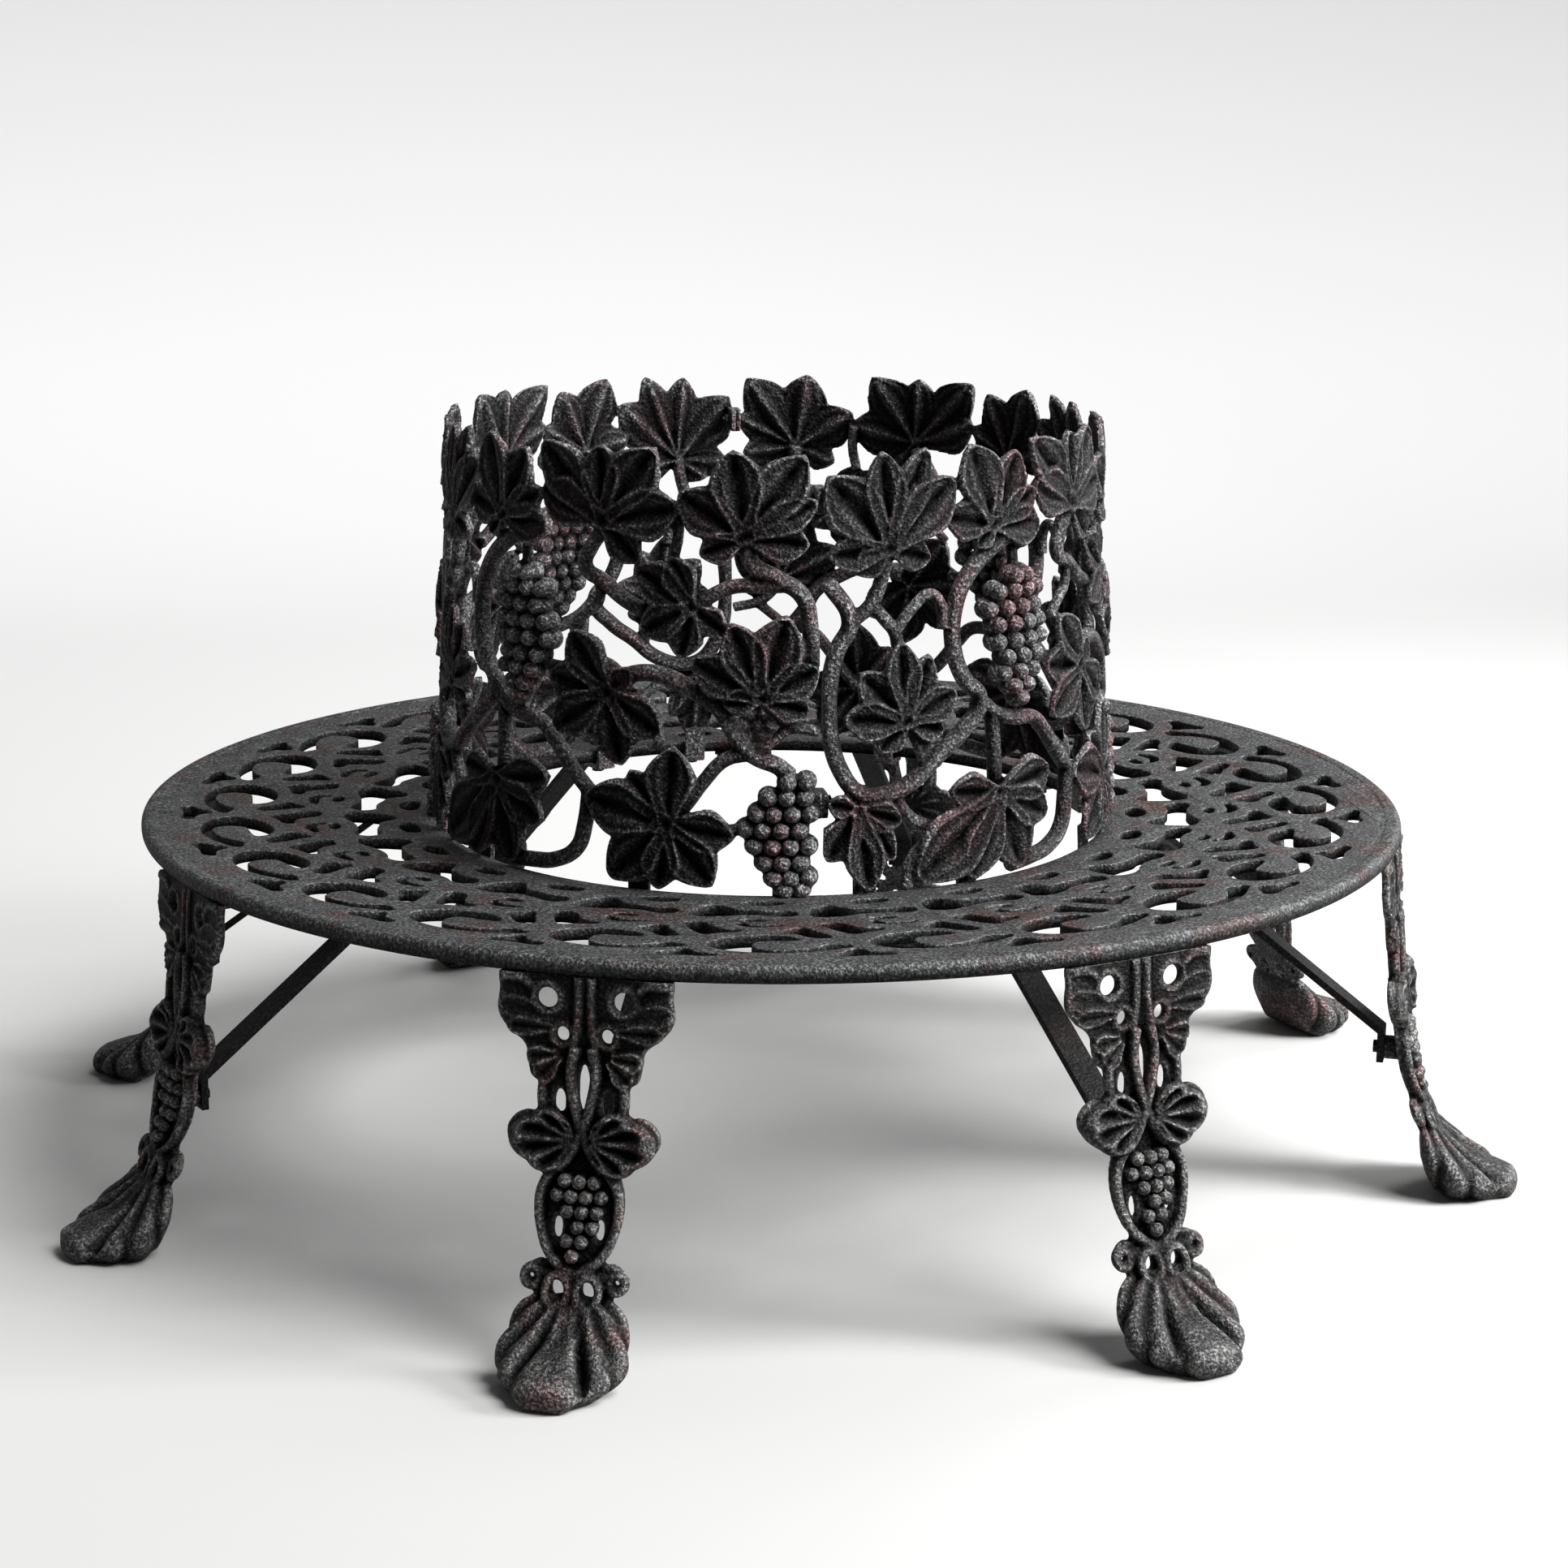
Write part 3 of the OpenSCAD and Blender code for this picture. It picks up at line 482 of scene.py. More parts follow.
STEMS = [
    (9, 0, [(0.8, 748), (4.6, 703), (2.4, 672), (1.3, 640), (1.2, 585), (3, 540), (6.2, 514),
            (10, 511), (15, 523), (19.5, 548), (24.5, 573), (28.3, 606), (25, 632), (23, 668),
            (23.4, 712), (26, 745), (31, 772), (36, 786), (41, 793)]),
    (7.5, 0, [(11, 782), (10, 750), (8.2, 722), (4.8, 703)]),
    (7, 0, [(8.2, 722), (10.5, 704), (12.2, 690), (12.8, 672)]),
    (6, 1, [(12.2, 690), (15.5, 716), (18.5, 729), (20.5, 718), (21, 690)]),
    (8, 0, [(28.3, 606), (31.5, 589), (36, 579), (41, 574), (44, 556), (48, 525), (51.5, 503)]),
    (8, -1, [(31, 588), (31.3, 545), (31.4, 505)]),
    (8.5, 0, [(51, 506), (50.3, 470), (48.8, 440), (44.5, 422), (39, 416), (34, 413)]),
    (5.5, 0, [(14, 590), (16, 565), (17.5, 540)]),
    (5.5, 0, [(17.5, 585), (17.7, 545)]),
    (6.5, 0, [(12, 513), (13.8, 490), (17.5, 473), (24, 470)]),
    (7.5, 0, [(24, 468), (17.5, 452), (14.6, 430), (13.8, 405)]),
    (9, 0, [(56, 634), (60, 643), (64, 642), (69, 628), (73.5, 608), (76, 580), (79, 558),
            (83, 546), (85, 535)]),
    (7.5, 0, [(78.5, 560), (74.5, 553), (71, 528), (68, 500), (65.5, 482)]),
    (6, 0, [(80.4, 618), (84, 594), (89.6, 584)]),
    (6, 0, [(79, 558), (84.5, 588)]),
    (9, 0, [(77.6, 797), (78.5, 768), (82.5, 752), (86.8, 732), (88, 700), (88.2, 655)]),
    (7.5, 0, [(69.5, 722), (75.5, 742), (80.5, 743), (84.6, 744)]),
    (6, 0, [(65.5, 770), (66.3, 800), (66, 826)]),
    (8, 0, [(53.2, 800), (50.3, 775), (49.3, 755), (53, 740), (57, 722), (62, 708)]),
    (5.5, 0, [(46.6, 684), (49.5, 702), (52, 716), (52.5, 738)]),
    (6, 0, [(36, 785), (36.4, 742)]),
    (6, 0, [(41.6, 640), (46, 640)]),
    (6, 0, [(74, 474), (79, 478)]),
]

UPPER_GRAPES = [
    (740, [35.2, 38.2]), (724, [31.2, 34.8, 38.3, 41.5]), (705, [29.3, 33, 36.8, 40.5]),
    (687, [31, 34.8, 38.6, 42.3]), (668, [31, 35, 39, 43]), (650, [33, 37, 41]),
    (633, [32, 36, 39.8]), (617, [34.5, 38]), (603, [36.2]),
]
LOWER_GRAPES = [
    (530, [84.5, 88]), (513, [81, 84.3, 87.6]), (495, [79, 82, 85.3, 88.6]),
    (477, [76.8, 80, 83.3, 86.6]), (459, [78.5, 81.8, 85, 88.3]), (441, [80.3, 83.5, 86.8]),
    (424, [82, 85, 88.3]), (411, [84, 87]),
]
LUG_SHARES = [0.88, 0.2]
LUG_HALF, LUG_WIDE, LUG_DEEP = 14, 11.3, 32
FOOT_TURNS = [7, 25.5, 60, 84]
FOOT_WIDE, FOOT_LOW_Z, FOOT_THICK, FOOT_DEEP = 26, 379, 8, 27
print("one quarter has", len(LEAVES), "leaves and", len(STEMS), "stems")

# %% [markdown]
# ## Casting the back
# All shapes of the drawing go into one flat bmesh. It is melted while it is flat, because a thin
# flat box holds few voxels. Then the two ends are sawn straight, where the real castings meet, and
# only then is the panel rolled to the ring. Lugs and feet for the bolts sit on the hidden side.


# %% Cast the back
QUARTER_MM = 90 * DEG_MM
BACK_VOXEL = 2.0
TIP_Z, TIP_SQUEEZE = 880, 0.8


def flat(spot):
    """A point of the drawing in degrees and height, as millimetres on the flat panel."""
    return (spot[0] * DEG_MM, spot[1])


def grape_bunch(bm, rows, radius, backing):
    """Berries in staggered rows that bulge forward in the middle of the bunch. Fatter ones, set
    back by backing, make the solid body behind them."""
    middle = sum(sum(row) for _, row in rows) / sum(len(row) for _, row in rows)
    for height, turns in rows:
        for turn_deg in turns:
            near = middle + (turn_deg - middle) * 0.86
            depth = 3 + 7 * (1 - ((near - middle) / 6.5) ** 2)
            berry(bm, flat((near, height)), depth - backing, radius)


def back_panel():
    """The flat panel of one quarter: one melted skin, and the single grapes on it."""
    bm = bmesh.new()
    for base, tips, front in LEAVES:
        leaf(bm, flat(base), [flat(tip) for tip in tips], front)
    stems = new_stems()
    for half, front, points in STEMS:
        spots = [flat(point) for point in points]
        add_spline(stems, [(x, -front, z) for x, z in spots], [half * 1.1] * len(points))
    add_curve(bm, stems)
    for rows in (UPPER_GRAPES, LOWER_GRAPES):
        grape_bunch(bm, rows, 12.5, 9)
    for share in LUG_SHARES:
        z = BACK_Z0 + share * BACK_H
        for x in (-4, QUARTER_MM - 7.3):
            block(bm, (x, 0, z - LUG_HALF), (x + LUG_WIDE, LUG_DEEP, z + LUG_HALF))
    for turn_deg in FOOT_TURNS:
        left, right = turn_deg * DEG_MM - FOOT_WIDE / 2, turn_deg * DEG_MM + FOOT_WIDE / 2
        block(bm, (left, 2, FOOT_LOW_Z), (right, 8, SEAT_Z))
        block(bm, (left, -FOOT_DEEP, FOOT_LOW_Z), (right, 8, FOOT_LOW_Z + FOOT_THICK))
    skin = melted(shown("back_panel", to_mesh(bm, "back_panel")), BACK_VOXEL, keep=0.47)
    grapes = bmesh.new()
    for rows in (UPPER_GRAPES, LOWER_GRAPES):
        grape_bunch(grapes, rows, 9.4, -1)
    return joined(skin, to_mesh(grapes, "berries"))


def rolled(mesh, name, start_turn):
    """The flat panel is rolled to the ring and turned to its quarter. The highest leaf tips are
    pressed down a little on the way, because the melted skin stands higher than the drawing."""
    mesh = mesh.copy()
    x, y, z = points_of(mesh).T
    z = np.where(z > TIP_Z, TIP_Z + (z - TIP_Z) * TIP_SQUEEZE, z)
    angle = np.radians(x / DEG_MM + start_turn)
    radius = ring_r(z) - y
    ring = np.stack([radius * np.cos(angle), radius * np.sin(angle), z], 1) * MM
    mesh.vertices.foreach_set("co", ring.ravel())
    mesh.update()
    return shown(name, mesh)


left_end = (JOINT_GAP / 2, 0, 0), (-1, 0, 0)
right_end = (QUARTER_MM - JOINT_GAP / 2, 0, 0), (1, 0, 0)
panel = sawn(back_panel(), [left_end, right_end])
mark_wear_and_shade(panel)
# a sound mesh matters here, because its four copies share its faces
print("the panel needed repair:", panel.validate())
back_pieces = []
for quarter in range(1, 5):
    piece = rolled(panel, f"vine_back_{quarter}", 90 * (quarter - 1) - 90)
    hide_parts(f"back_quarter_{quarter}")
    back_pieces.append(piece)
print("a back quarter has", len(panel.polygons), "faces")

# %% [markdown]
# ## The pierced seat
# The seat's scrolls are cut-outs with softly rounded edges. A flat 2D curve does this well: it
# fills the plate between its outline and its holes and bevels every edge at once, with few faces.
# The plate is then tilted to the dish and the rolled rim is spun round it.

# %% Drawing of the seat
BAYS = 6
SCROLL = [(70, 688), (90, 730), (170, 773), (310, 801), (490, 814), (680, 801), (840, 770),
          (955, 728), (900, 708), (810, 702), (745, 728), (650, 758), (530, 775), (420, 772),
          (365, 744), (345, 702), (375, 665), (440, 656), (570, 651), (645, 640), (625, 612),
          (560, 588), (465, 574), (335, 577), (215, 598), (120, 637)]
RIM_CUT = [(-195, 856), (-20, 862), (165, 850), (40, 812), (-50, 768), (-125, 808)]
SLANT = [(535, 530), (640, 566), (720, 608), (800, 624), (855, 606), (835, 572), (755, 512),
         (675, 464), (600, 488)]
STEM_CUT = [(20, 574), (100, 556), (255, 512), (120, 490), (40, 454), (-25, 415), (-105, 405),
            (-200, 422), (-135, 478), (-55, 540)]
CRESCENT = [(213, 398), (207, 426), (260, 452), (365, 467), (467, 457), (547, 435), (453, 428),
            (347, 430), (280, 418), (260, 398)]
COMMA = [(220, 367), (270, 383), (345, 386), (415, 379), (430, 366), (385, 352), (310, 347),
         (250, 353)]
TULIP = [(-213, 307), (-100, 327), (33, 321), (160, 301), (300, 290), (427, 295), (533, 310),
         (620, 308), (680, 287), (675, 253), (600, 227), (433, 230), (267, 217), (160, 210),
         (80, 182), (-20, 153), (-120, 162), (-187, 204), (-220, 261)]
OVAL = [(173, 108), (213, 136), (333, 153), (467, 148), (580, 122), (560, 94), (440, 84),
        (267, 87)]
OPENINGS = [SCROLL, RIM_CUT, SLANT, STEM_CUT, CRESCENT, COMMA, TULIP, OVAL]
ACROSS_JOINT = [RIM_CUT, STEM_CUT, TULIP]
print("each bay has", len(OPENINGS), "openings")

# %% [markdown]
# ## Plate and rim
# The drawing is laid out bay by bay on a ring, in thousandths of a bay's angle and of the way from
# hole to rim. Openings that cross a joint are cut in both neighbours.


# %% Plate and rim of the seat
EDGE_ROUND = 1.7
RIM_WIDE, RIM_ROUND = 24, 8.5


def bay_point(bay, spot):
    """A point of the drawing, where a bay is 1000 wide and the seat 1000 deep from hole to rim."""
    angle = math.radians((bay + spot[0] / 1000) * 90 / BAYS)
    radius = HOLE_R + spot[1] / 1000 * (SEAT_R - HOLE_R)
    return (radius * math.cos(angle), radius * math.sin(angle), 0)


def arc(radius, first, last, steps):
    """Points along a circle between two angles in degrees."""
    turns = [math.radians(first + (last - first) * i / steps) for i in range(steps + 1)]
    return [(radius * math.cos(a), radius * math.sin(a), 0) for a in turns]


def seat_plate(bm):
    """The pierced plate, a little longer than its quarter at both ends, and tilted to the dish."""
    curve = new_plate(SEAT_PLATE, EDGE_ROUND)
    outline = curve.splines.new("POLY")
    corners = arc(HOLE_R, -5, 101.5, 90) + arc(SEAT_R - 10, 101.5, -5, 120)
    outline.points.add(len(corners) - 1)
    for knot, corner in zip(outline.points, corners):
        knot.co = (*corner, 1)
    outline.use_cyclic_u = True
    for bay in range(BAYS + 1):
        for shape in OPENINGS if bay < BAYS else ACROSS_JOINT:
            spots = [bay_point(bay, spot) for spot in shape]
            add_spline(curve, spots, [1] * len(spots), closed=True)
    add_curve(bm, curve)
    for vert in bm.verts:
        radius = math.hypot(vert.co.x, vert.co.y)
        vert.co.z += seat_top(radius) - SEAT_PLATE / 2


def seat_rim(bm):
    """The rolled edge: a square section with big rounds, spun a little past the quarter."""
    section = flat_grid(bm, 1, 1, 0.5)
    middle_r, middle_z = SEAT_R - RIM_WIDE / 2, SEAT_Z - RIM_DEPTH / 2
    for vert in section:
        vert.co = (middle_r + vert.co.x * RIM_WIDE, 0, middle_z + vert.co.y * RIM_DEPTH)
    bmesh.ops.bevel(
        bm, geom=section, affect="VERTICES", offset=RIM_ROUND, segments=6, profile=0.5, material=-1
    )
    face = next(iter(bm.faces))
    start = list(face.verts) + list(face.edges) + [face]
    before_joint = Matrix.Rotation(math.radians(-0.5), 3, "Z")
    bmesh.ops.rotate(bm, verts=list(face.verts), cent=(0, 0, 0), matrix=before_joint)
    bmesh.ops.spin(
        bm, geom=start, cent=(0, 0, 0), axis=(0, 0, 1), angle=math.radians(91), steps=120,
        use_merge=False, use_duplicate=False,
    )


print("plate and rim are rounded by", EDGE_ROUND, "and", RIM_ROUND, "mm")

# %% [markdown]
# ## Casting the seat
# Below sit bosses for screws and lugs for the bolts at both ends. Plate, rim and underside stay
# closed shells that overlap, because a remesh would blunt the crisp openings.


# %% Cast the seat
TAB_R = HOLE_R + 15
BRACE_REACH = 463
SCREW_R = SEAT_R - 28
LEG_TURNS = (22.5, 67.5)
BOSS_R, SCREW_BOSS_R, BOSS_HIGH = 9.5, 11.5, 16
BOLT_LUGS = (HOLE_R + 30, SEAT_R - 105)
SHARP_DEG = 34


def seat_underside(bm):
    """Bosses for screws and the bolted lugs at both ends, as the solids have them."""
    up = (0, 0, 1)
    for turn_deg in LEG_TURNS:
        spin = Matrix.Rotation(math.radians(turn_deg), 3, "Z")
        for aside in (-45, 45):
            spot = spin @ Vector((SCREW_R, aside, SEAT_Z - RIM_DEPTH))
            cylinder(bm, spot, up, SCREW_BOSS_R, BOSS_HIGH)
        top = seat_top(BRACE_REACH)
        low = top - SEAT_PLATE - 4
        cylinder(bm, spin @ Vector((BRACE_REACH, 0, low)), up, BOSS_R, top - low - 3)
    for turn_deg in FOOT_TURNS:
        spin = Matrix.Rotation(math.radians(turn_deg), 3, "Z")
        low = FOOT_LOW_Z + FOOT_THICK
        cylinder(bm, spin @ Vector((TAB_R, 0, low)), up, BOSS_R, seat_top(TAB_R) - low - 3)
    for radius in BOLT_LUGS:
        low = seat_top(radius) - SEAT_PLATE - 17.5
        block(bm, (radius - 15, -2, low), (radius + 15, 8, low + 22))
        block(bm, (-2, radius - 15, low), (8, radius + 15, low + 22))


def mark_depth(mesh):
    """Stores how far each point lies below the seat's face. The face counts as rubbed grey; the
    walls of its openings fall to near black, as painted shade; and on the rounded rim the grey
    reaches further down, as wear and a painted highlight."""
    x, y, z = points_of(mesh).T / MM
    radius = np.hypot(x, y)
    below = np.where(radius > SEAT_R - 22, (seat_top(radius) - z) / 5, seat_top(radius) - z)
    store_wear_and_shade(mesh, 1 - (below - 0.6) / 4)


def seat_casting():
    """One quarter of the seat, before it is turned to its place."""
    bm = bmesh.new()
    seat_plate(bm)
    bmesh.ops.remove_doubles(bm, verts=bm.verts, dist=0.02)
    rim = bmesh.new()
    seat_rim(rim)
    seat_underside(rim)
    rim_mesh = to_mesh(rim, "rim")
    bm.from_mesh(rim_mesh)
    bpy.data.meshes.remove(rim_mesh)
    cut_flat(bm, (0, JOINT_GAP / 2, 0), (0, -1, 0))
    cut_flat(bm, (JOINT_GAP / 2, 0, 0), (-1, 0, 0))
    bmesh.ops.recalc_face_normals(bm, faces=bm.faces)
    bmesh.ops.scale(bm, vec=(MM, MM, MM), verts=bm.verts)
    mesh = to_mesh(bm, "seat_casting")
    smooth(mesh)
    mesh.set_sharp_from_angle(angle=math.radians(SHARP_DEG))
    mark_depth(mesh)
    return mesh


casting = seat_casting()
seat_pieces = []
for quarter in range(1, 5):
    mesh = casting.copy()
    mesh.transform(Matrix.Rotation(math.radians(90 * (quarter - 1) - 90), 4, "Z"))
    piece = shown(f"scroll_seat_{quarter}", mesh)
    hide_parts(f"seat_quarter_{quarter}")
    seat_pieces.append(piece)
print("a seat quarter has", len(casting.polygons), "faces")

# %% [markdown]
# ## The legs
# A leg is carved in low relief: a shaped plate with holes, stems that cross below it, two leaves at
# the crossing, a bunch of grapes between two canes, and a pair of loops above the foot. It is drawn
# as seen from outside, then pushed along the leg's leaning middle line.

# %% Drawing of a leg
LEG_LINE_Z = [0, 72, 100, 150, 200, 250, 314, 404]
LEG_LINE_OUT = [48, 48, 36, 20, 10, 3, -3, -9]
LEG_EDGE = [(88, 410), (91, 385), (92, 362), (80, 345), (63, 330), (60, 314), (56, 299), (47, 292),
            (46, 278), (45, 262), (60, 263), (75, 255), (81, 240), (73, 225), (60, 213), (42, 203),
            (45, 187), (46, 170), (43, 150), (36, 130), (30, 117), (40, 116), (51, 108), (51, 96),
            (44, 88), (40, 76), (40, 60)]
LEG_HOLES = [(40, 380, 10.5, 10.5), (23.5, 344, 6.5, 7.5), (25, 274, 5.5, 14), (22, 148, 4.5, 11),
             (45, 100, 3.5, 3.5), (16, 92, 7, 10)]
LEG_RIDGES = [
    (5.5, 3, [(7, 402), (7, 370), (9, 346), (12, 330)]),
    (5, 3, [(86, 400), (64, 398), (56, 392)]),
    (6, 4, [(42, 298), (43, 276), (37, 250), (26, 226)]),
    (6, 7, [(9, 332), (13, 306), (10, 282), (0, 248), (-13, 222), (-24, 208)]),
    (5.5, 7, [(14, 218), (30, 205), (40, 188), (42, 168), (38, 146), (29, 126), (14, 112),
              (-6, 101)]),
    (4.5, 4, [(0, 105), (18, 107), (34, 104)]),
]
LEG_LOOPS = [(16, 90, 12, 15, 4.8, 10), (45, 100, 8, 8, 5.5, 3), (40, 380, 15, 15, 3.6, 3),
             (23.5, 344, 11, 11.5, 3.6, 3)]
LEG_LOBES = [
    ((34, 362), (91, 372), 26, 1), ((32, 350), (84, 350), 22, 2),
    ((28, 324), (62, 319), 22, 3), ((26, 320), (50, 297), 26, 4),
]
KNOT_STALK = (8, 238)
LEG_GRAPES = [(197, 3, 0), (182, 4, 0), (167, 3, 4), (152, 2, 8), (138, 2, -2), (124, 1, -3)]
print("the leg's outline has", len(LEG_EDGE), "points a side")

# %% [markdown]
# ## Plate, relief and grapes of a leg
# The plate with its holes is a filled curve, like the seat's. Stems and loops are round cords that
# lie half sunk in it, and the leaves are lobes with a low crown.


# %% Upright parts of a leg
LEG_PLATE, LEG_ROUND = 9, 2.5
SLOT = (0, 290, 5.5, 24)
OVAL_SPOTS = 8
GRAPE_PITCH, BUNCH_HALF = 15.5, 26


def mirrored(points):
    return [(-x, z) for x, z in points]


def oval_spots(x, z, wide, high):
    """Points round an oval of the drawing, given by its middle and half its width and height."""
    turns = np.linspace(0, 2 * math.pi, OVAL_SPOTS + 1)[:-1]
    return [(x + wide * math.cos(a), z + high * math.sin(a)) for a in turns]


def leg_plate(bm):
    """The pierced plate behind the relief."""
    curve = new_plate(LEG_PLATE, LEG_ROUND)
    outline = LEG_EDGE + mirrored(LEG_EDGE)[::-1]
    add_spline(curve, [(x, z, 0) for x, z in outline], [1] * len(outline), closed=True)
    holes = [(side * x, z, wide, high) for x, z, wide, high in LEG_HOLES for side in (-1, 1)]
    for hole in holes + [SLOT]:
        spots = [(x, z, 0) for x, z in oval_spots(*hole)]
        add_spline(curve, spots, [1] * OVAL_SPOTS, closed=True)
    start = len(bm.verts)
    add_curve(bm, curve)
    bm.verts.ensure_lookup_table()
    for vert in bm.verts[start:]:
        vert.co = (vert.co.x, vert.co.z, vert.co.y)


def leg_relief(bm):
    """Stems, loops and leaves in front of the plate, the same on both sides."""
    ridges = new_stems()
    for half, front, points in LEG_RIDGES:
        for line in (points, mirrored(points)):
            add_spline(ridges, [(x, -front, z) for x, z in line], [half] * len(line))
    for x, z, wide, high, half, front in LEG_LOOPS:
        for side in (-1, 1):
            ring = [(rx, -front, rz) for rx, rz in oval_spots(side * x, z, wide, high)]
            add_spline(ridges, ring, [half] * OVAL_SPOTS, closed=True)
    add_curve(bm, ridges)
    for side in (-1, 1):
        for base, tip, width, front in LEG_LOBES:
            ends = (side * base[0], base[1]), (side * tip[0], tip[1])
            lobe(bm, *ends, width, 2.0, front, wall=9, swell=3.2, full=0.74)
        shell_leaf(bm, (side * KNOT_STALK[0], KNOT_STALK[1]), side, 5 + side, 14)


def leg_grapes(bm, radius, backing):
    """The bunch follows the leg's middle line. Set back by backing, it makes its own solid body."""
    for height, count, aside in LEG_GRAPES:
        for index in range(count):
            x = (index - (count - 1) / 2) * GRAPE_PITCH + aside
            out = float(np.interp(height, LEG_LINE_Z, LEG_LINE_OUT))
            depth = out + 7.5 + 4 * (1 - (x / BUNCH_HALF) ** 2) - backing
            berry(bm, (x, height), depth, radius)


print("the bunch on a leg has", sum(row[1] for row in LEG_GRAPES), "grapes")

# %% [markdown]
# ## The foot
# The foot is a folded leaf. Four rows of numbers draw it at eleven stations from ankle to toe: how
# far out it is, half its width, its underside and its top. A sphere is pulled over these stations,
# and folds that fan out from inside the ankle lie on top of it and scallop its edge.


# %% Foot of a leg
FOOT_OUT = [40, 43, 50, 62, 78, 95, 110, 124, 138, 148, 155]
FOOT_HALF = [24, 48, 59, 66, 68, 67, 61, 48, 38, 29, 10]
FOOT_LOW = [60, 46, 28, 9, 1, 0, 0, 0, 0, 1, 8]
FOOT_HIGH = [76, 86, 85, 76, 61, 49, 41, 35, 30, 26, 16]
FOOT_FOLD, FAN_OUT = 0.37, 34


def fold_wave(angle):
    """0 in the cleft between two folds and 1 on the back of a fold."""
    return abs(math.sin(angle * math.pi / FOOT_FOLD))


def foot_folds(across, out):
    """The leaf's lobes: a fat one in front, and on each side folds that run out from the ankle."""
    angle, reach = math.atan2(across, out - FAN_OUT), math.hypot(across, out - FAN_OUT)
    grown = smooth_step((reach - 10) / 25)
    ribs = 6.5 * (fold_wave(angle) - 0.65) * smooth_step((abs(angle) - 0.30) / 0.12)
    ribs *= grown * (1 - smooth_step((reach - 85) / 20))
    spine = 4.0 * bump(angle + 0.16, 0.07) * grown * (1 - smooth_step((reach - 45) / 30))
    clefts = 15.0 * bump(angle - FOOT_FOLD, 0.07) + 7.0 * bump(angle + FOOT_FOLD, 0.08)
    clefts *= smooth_step((reach - 30) / 40)
    toe = 5.0 * bump(angle + 0.08, 0.34) * smooth_step((reach - 55) / 35)
    return ribs + spine + toe - clefts


def leg_foot(bm):
    """A folded leaf that slides out to the toe, shaped from a sphere round a lying axis."""
    ball = bmesh.ops.create_uvsphere(bm, u_segments=96, v_segments=56, radius=1)["verts"]
    stations = np.linspace(0, 1, len(FOOT_OUT))
    for vert in ball:
        s = math.acos(max(-1, min(1, vert.co.z))) / math.pi
        angle = math.atan2(vert.co.y, vert.co.x)
        across, up = math.cos(angle), math.sin(angle)
        reach, wide, low, high = (float(np.interp(s, stations, row))
                                  for row in (FOOT_OUT, FOOT_HALF, FOOT_LOW, FOOT_HIGH))
        scallop = fold_wave(math.atan2(wide, reach - FAN_OUT)) - 0.75
        wide *= 1 + 0.13 * scallop * smooth_step((reach - 48) / 12)
        x = wide * math.copysign(abs(across) ** 0.75, across)
        belly = low + (high - low) * 0.5
        if up >= 0:
            z = belly + (high - belly) * up**0.65 + foot_folds(x, reach) * smooth_step(up / 0.35)
        else:
            z = low + (belly - low) * max(0, 1 + up / 0.8) ** 0.7
        vert.co = (x, -reach, z)


print("the toe reaches", SEAT_R + max(FOOT_OUT), "mm from the middle")

# %% [markdown]
# ## Casting a leg
# All parts are pushed onto the leaning middle line, melted into one skin and trimmed flat under
# the rim. The grapes are laid over the skin afterwards, so that each one stays round.


# %% Cast a leg
LEG_VOXEL = 1.9
FLANGE_Z, FLANGE_THICK, FLANGE_HALF, FLANGE_DEEP = SEAT_Z - RIM_DEPTH, 10, 72, 45
BRACE_Z, BRACE_BOSS_R = 166, 14
ANKLE_Z, SOLE_Z = 92, 12


def leg_back(bm):
    """The flange under the rim and the boss that takes the brace, both behind the plate."""
    block(bm, (-FLANGE_HALF, 6, FLANGE_Z - FLANGE_THICK), (FLANGE_HALF, FLANGE_DEEP, FLANGE_Z))
    cylinder(bm, (0, 6, BRACE_Z), (0, -1, 0), BRACE_BOSS_R, 20)


def rub_toes(mesh):
    """Shoes polish the foot, so everything between the sole and the ankle is worn more."""
    z = points_of(mesh)[:, 2]
    level = np.empty(len(mesh.vertices), dtype=np.float32)
    mesh.attributes["wear_and_shade"].data.foreach_get("value", level)
    low = np.clip((ANKLE_Z - z) / 20, 0, 1) * np.clip(z / SOLE_Z, 0, 1)
    store_wear_and_shade(mesh, level + 0.08 * low)


def cast_leg():
    """One leg, upright at the origin: one melted skin, and the single grapes on it."""
    bm = bmesh.new()
    leg_plate(bm)
    leg_relief(bm)
    for vert in bm.verts:
        vert.co.y -= float(np.interp(vert.co.z, LEG_LINE_Z, LEG_LINE_OUT))
    leg_grapes(bm, 6.8, 5)
    leg_foot(bm)
    leg_back(bm)
    skin = melted(shown("leg", to_mesh(bm, "leg")), LEG_VOXEL, keep=0.62)
    grapes = bmesh.new()
    leg_grapes(grapes, 7.5, 0)
    mesh = joined(skin, to_mesh(grapes, "berries"))
    mesh = sawn(mesh, [((0, 0, FLANGE_Z), (0, 0, 1))])
    mark_wear_and_shade(mesh)
    rub_toes(mesh)
    return mesh


def stood(mesh, name, turn_deg):
    """The leg is carried out to the rim and turned to its place."""
    mesh = mesh.copy()
    around = Matrix.Rotation(math.radians(turn_deg), 4, "Z")
    outward = around @ Matrix.Translation((SEAT_R * MM, 0, 0))
    face_out = Matrix.Rotation(math.radians(90), 4, "Z") @ Matrix.Scale(MM, 4)
    mesh.transform(outward @ face_out)
    return shown(name, mesh)


leg_mesh = cast_leg()
leg_pieces = []
for number in range(1, 9):
    piece = stood(leg_mesh, f"vine_leg_{number}", 45 * (number - 1) + 22.5 - 90)
    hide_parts(f"leg_{number}")
    leg_pieces.append(piece)
print("a leg has", len(leg_mesh.polygons), "faces")

# %% [markdown]
# ## Materials
# One function adds a node with its settings and links, and three short ones on top of it make a
# colour ramp, a cloudy noise and a mix of two colours.


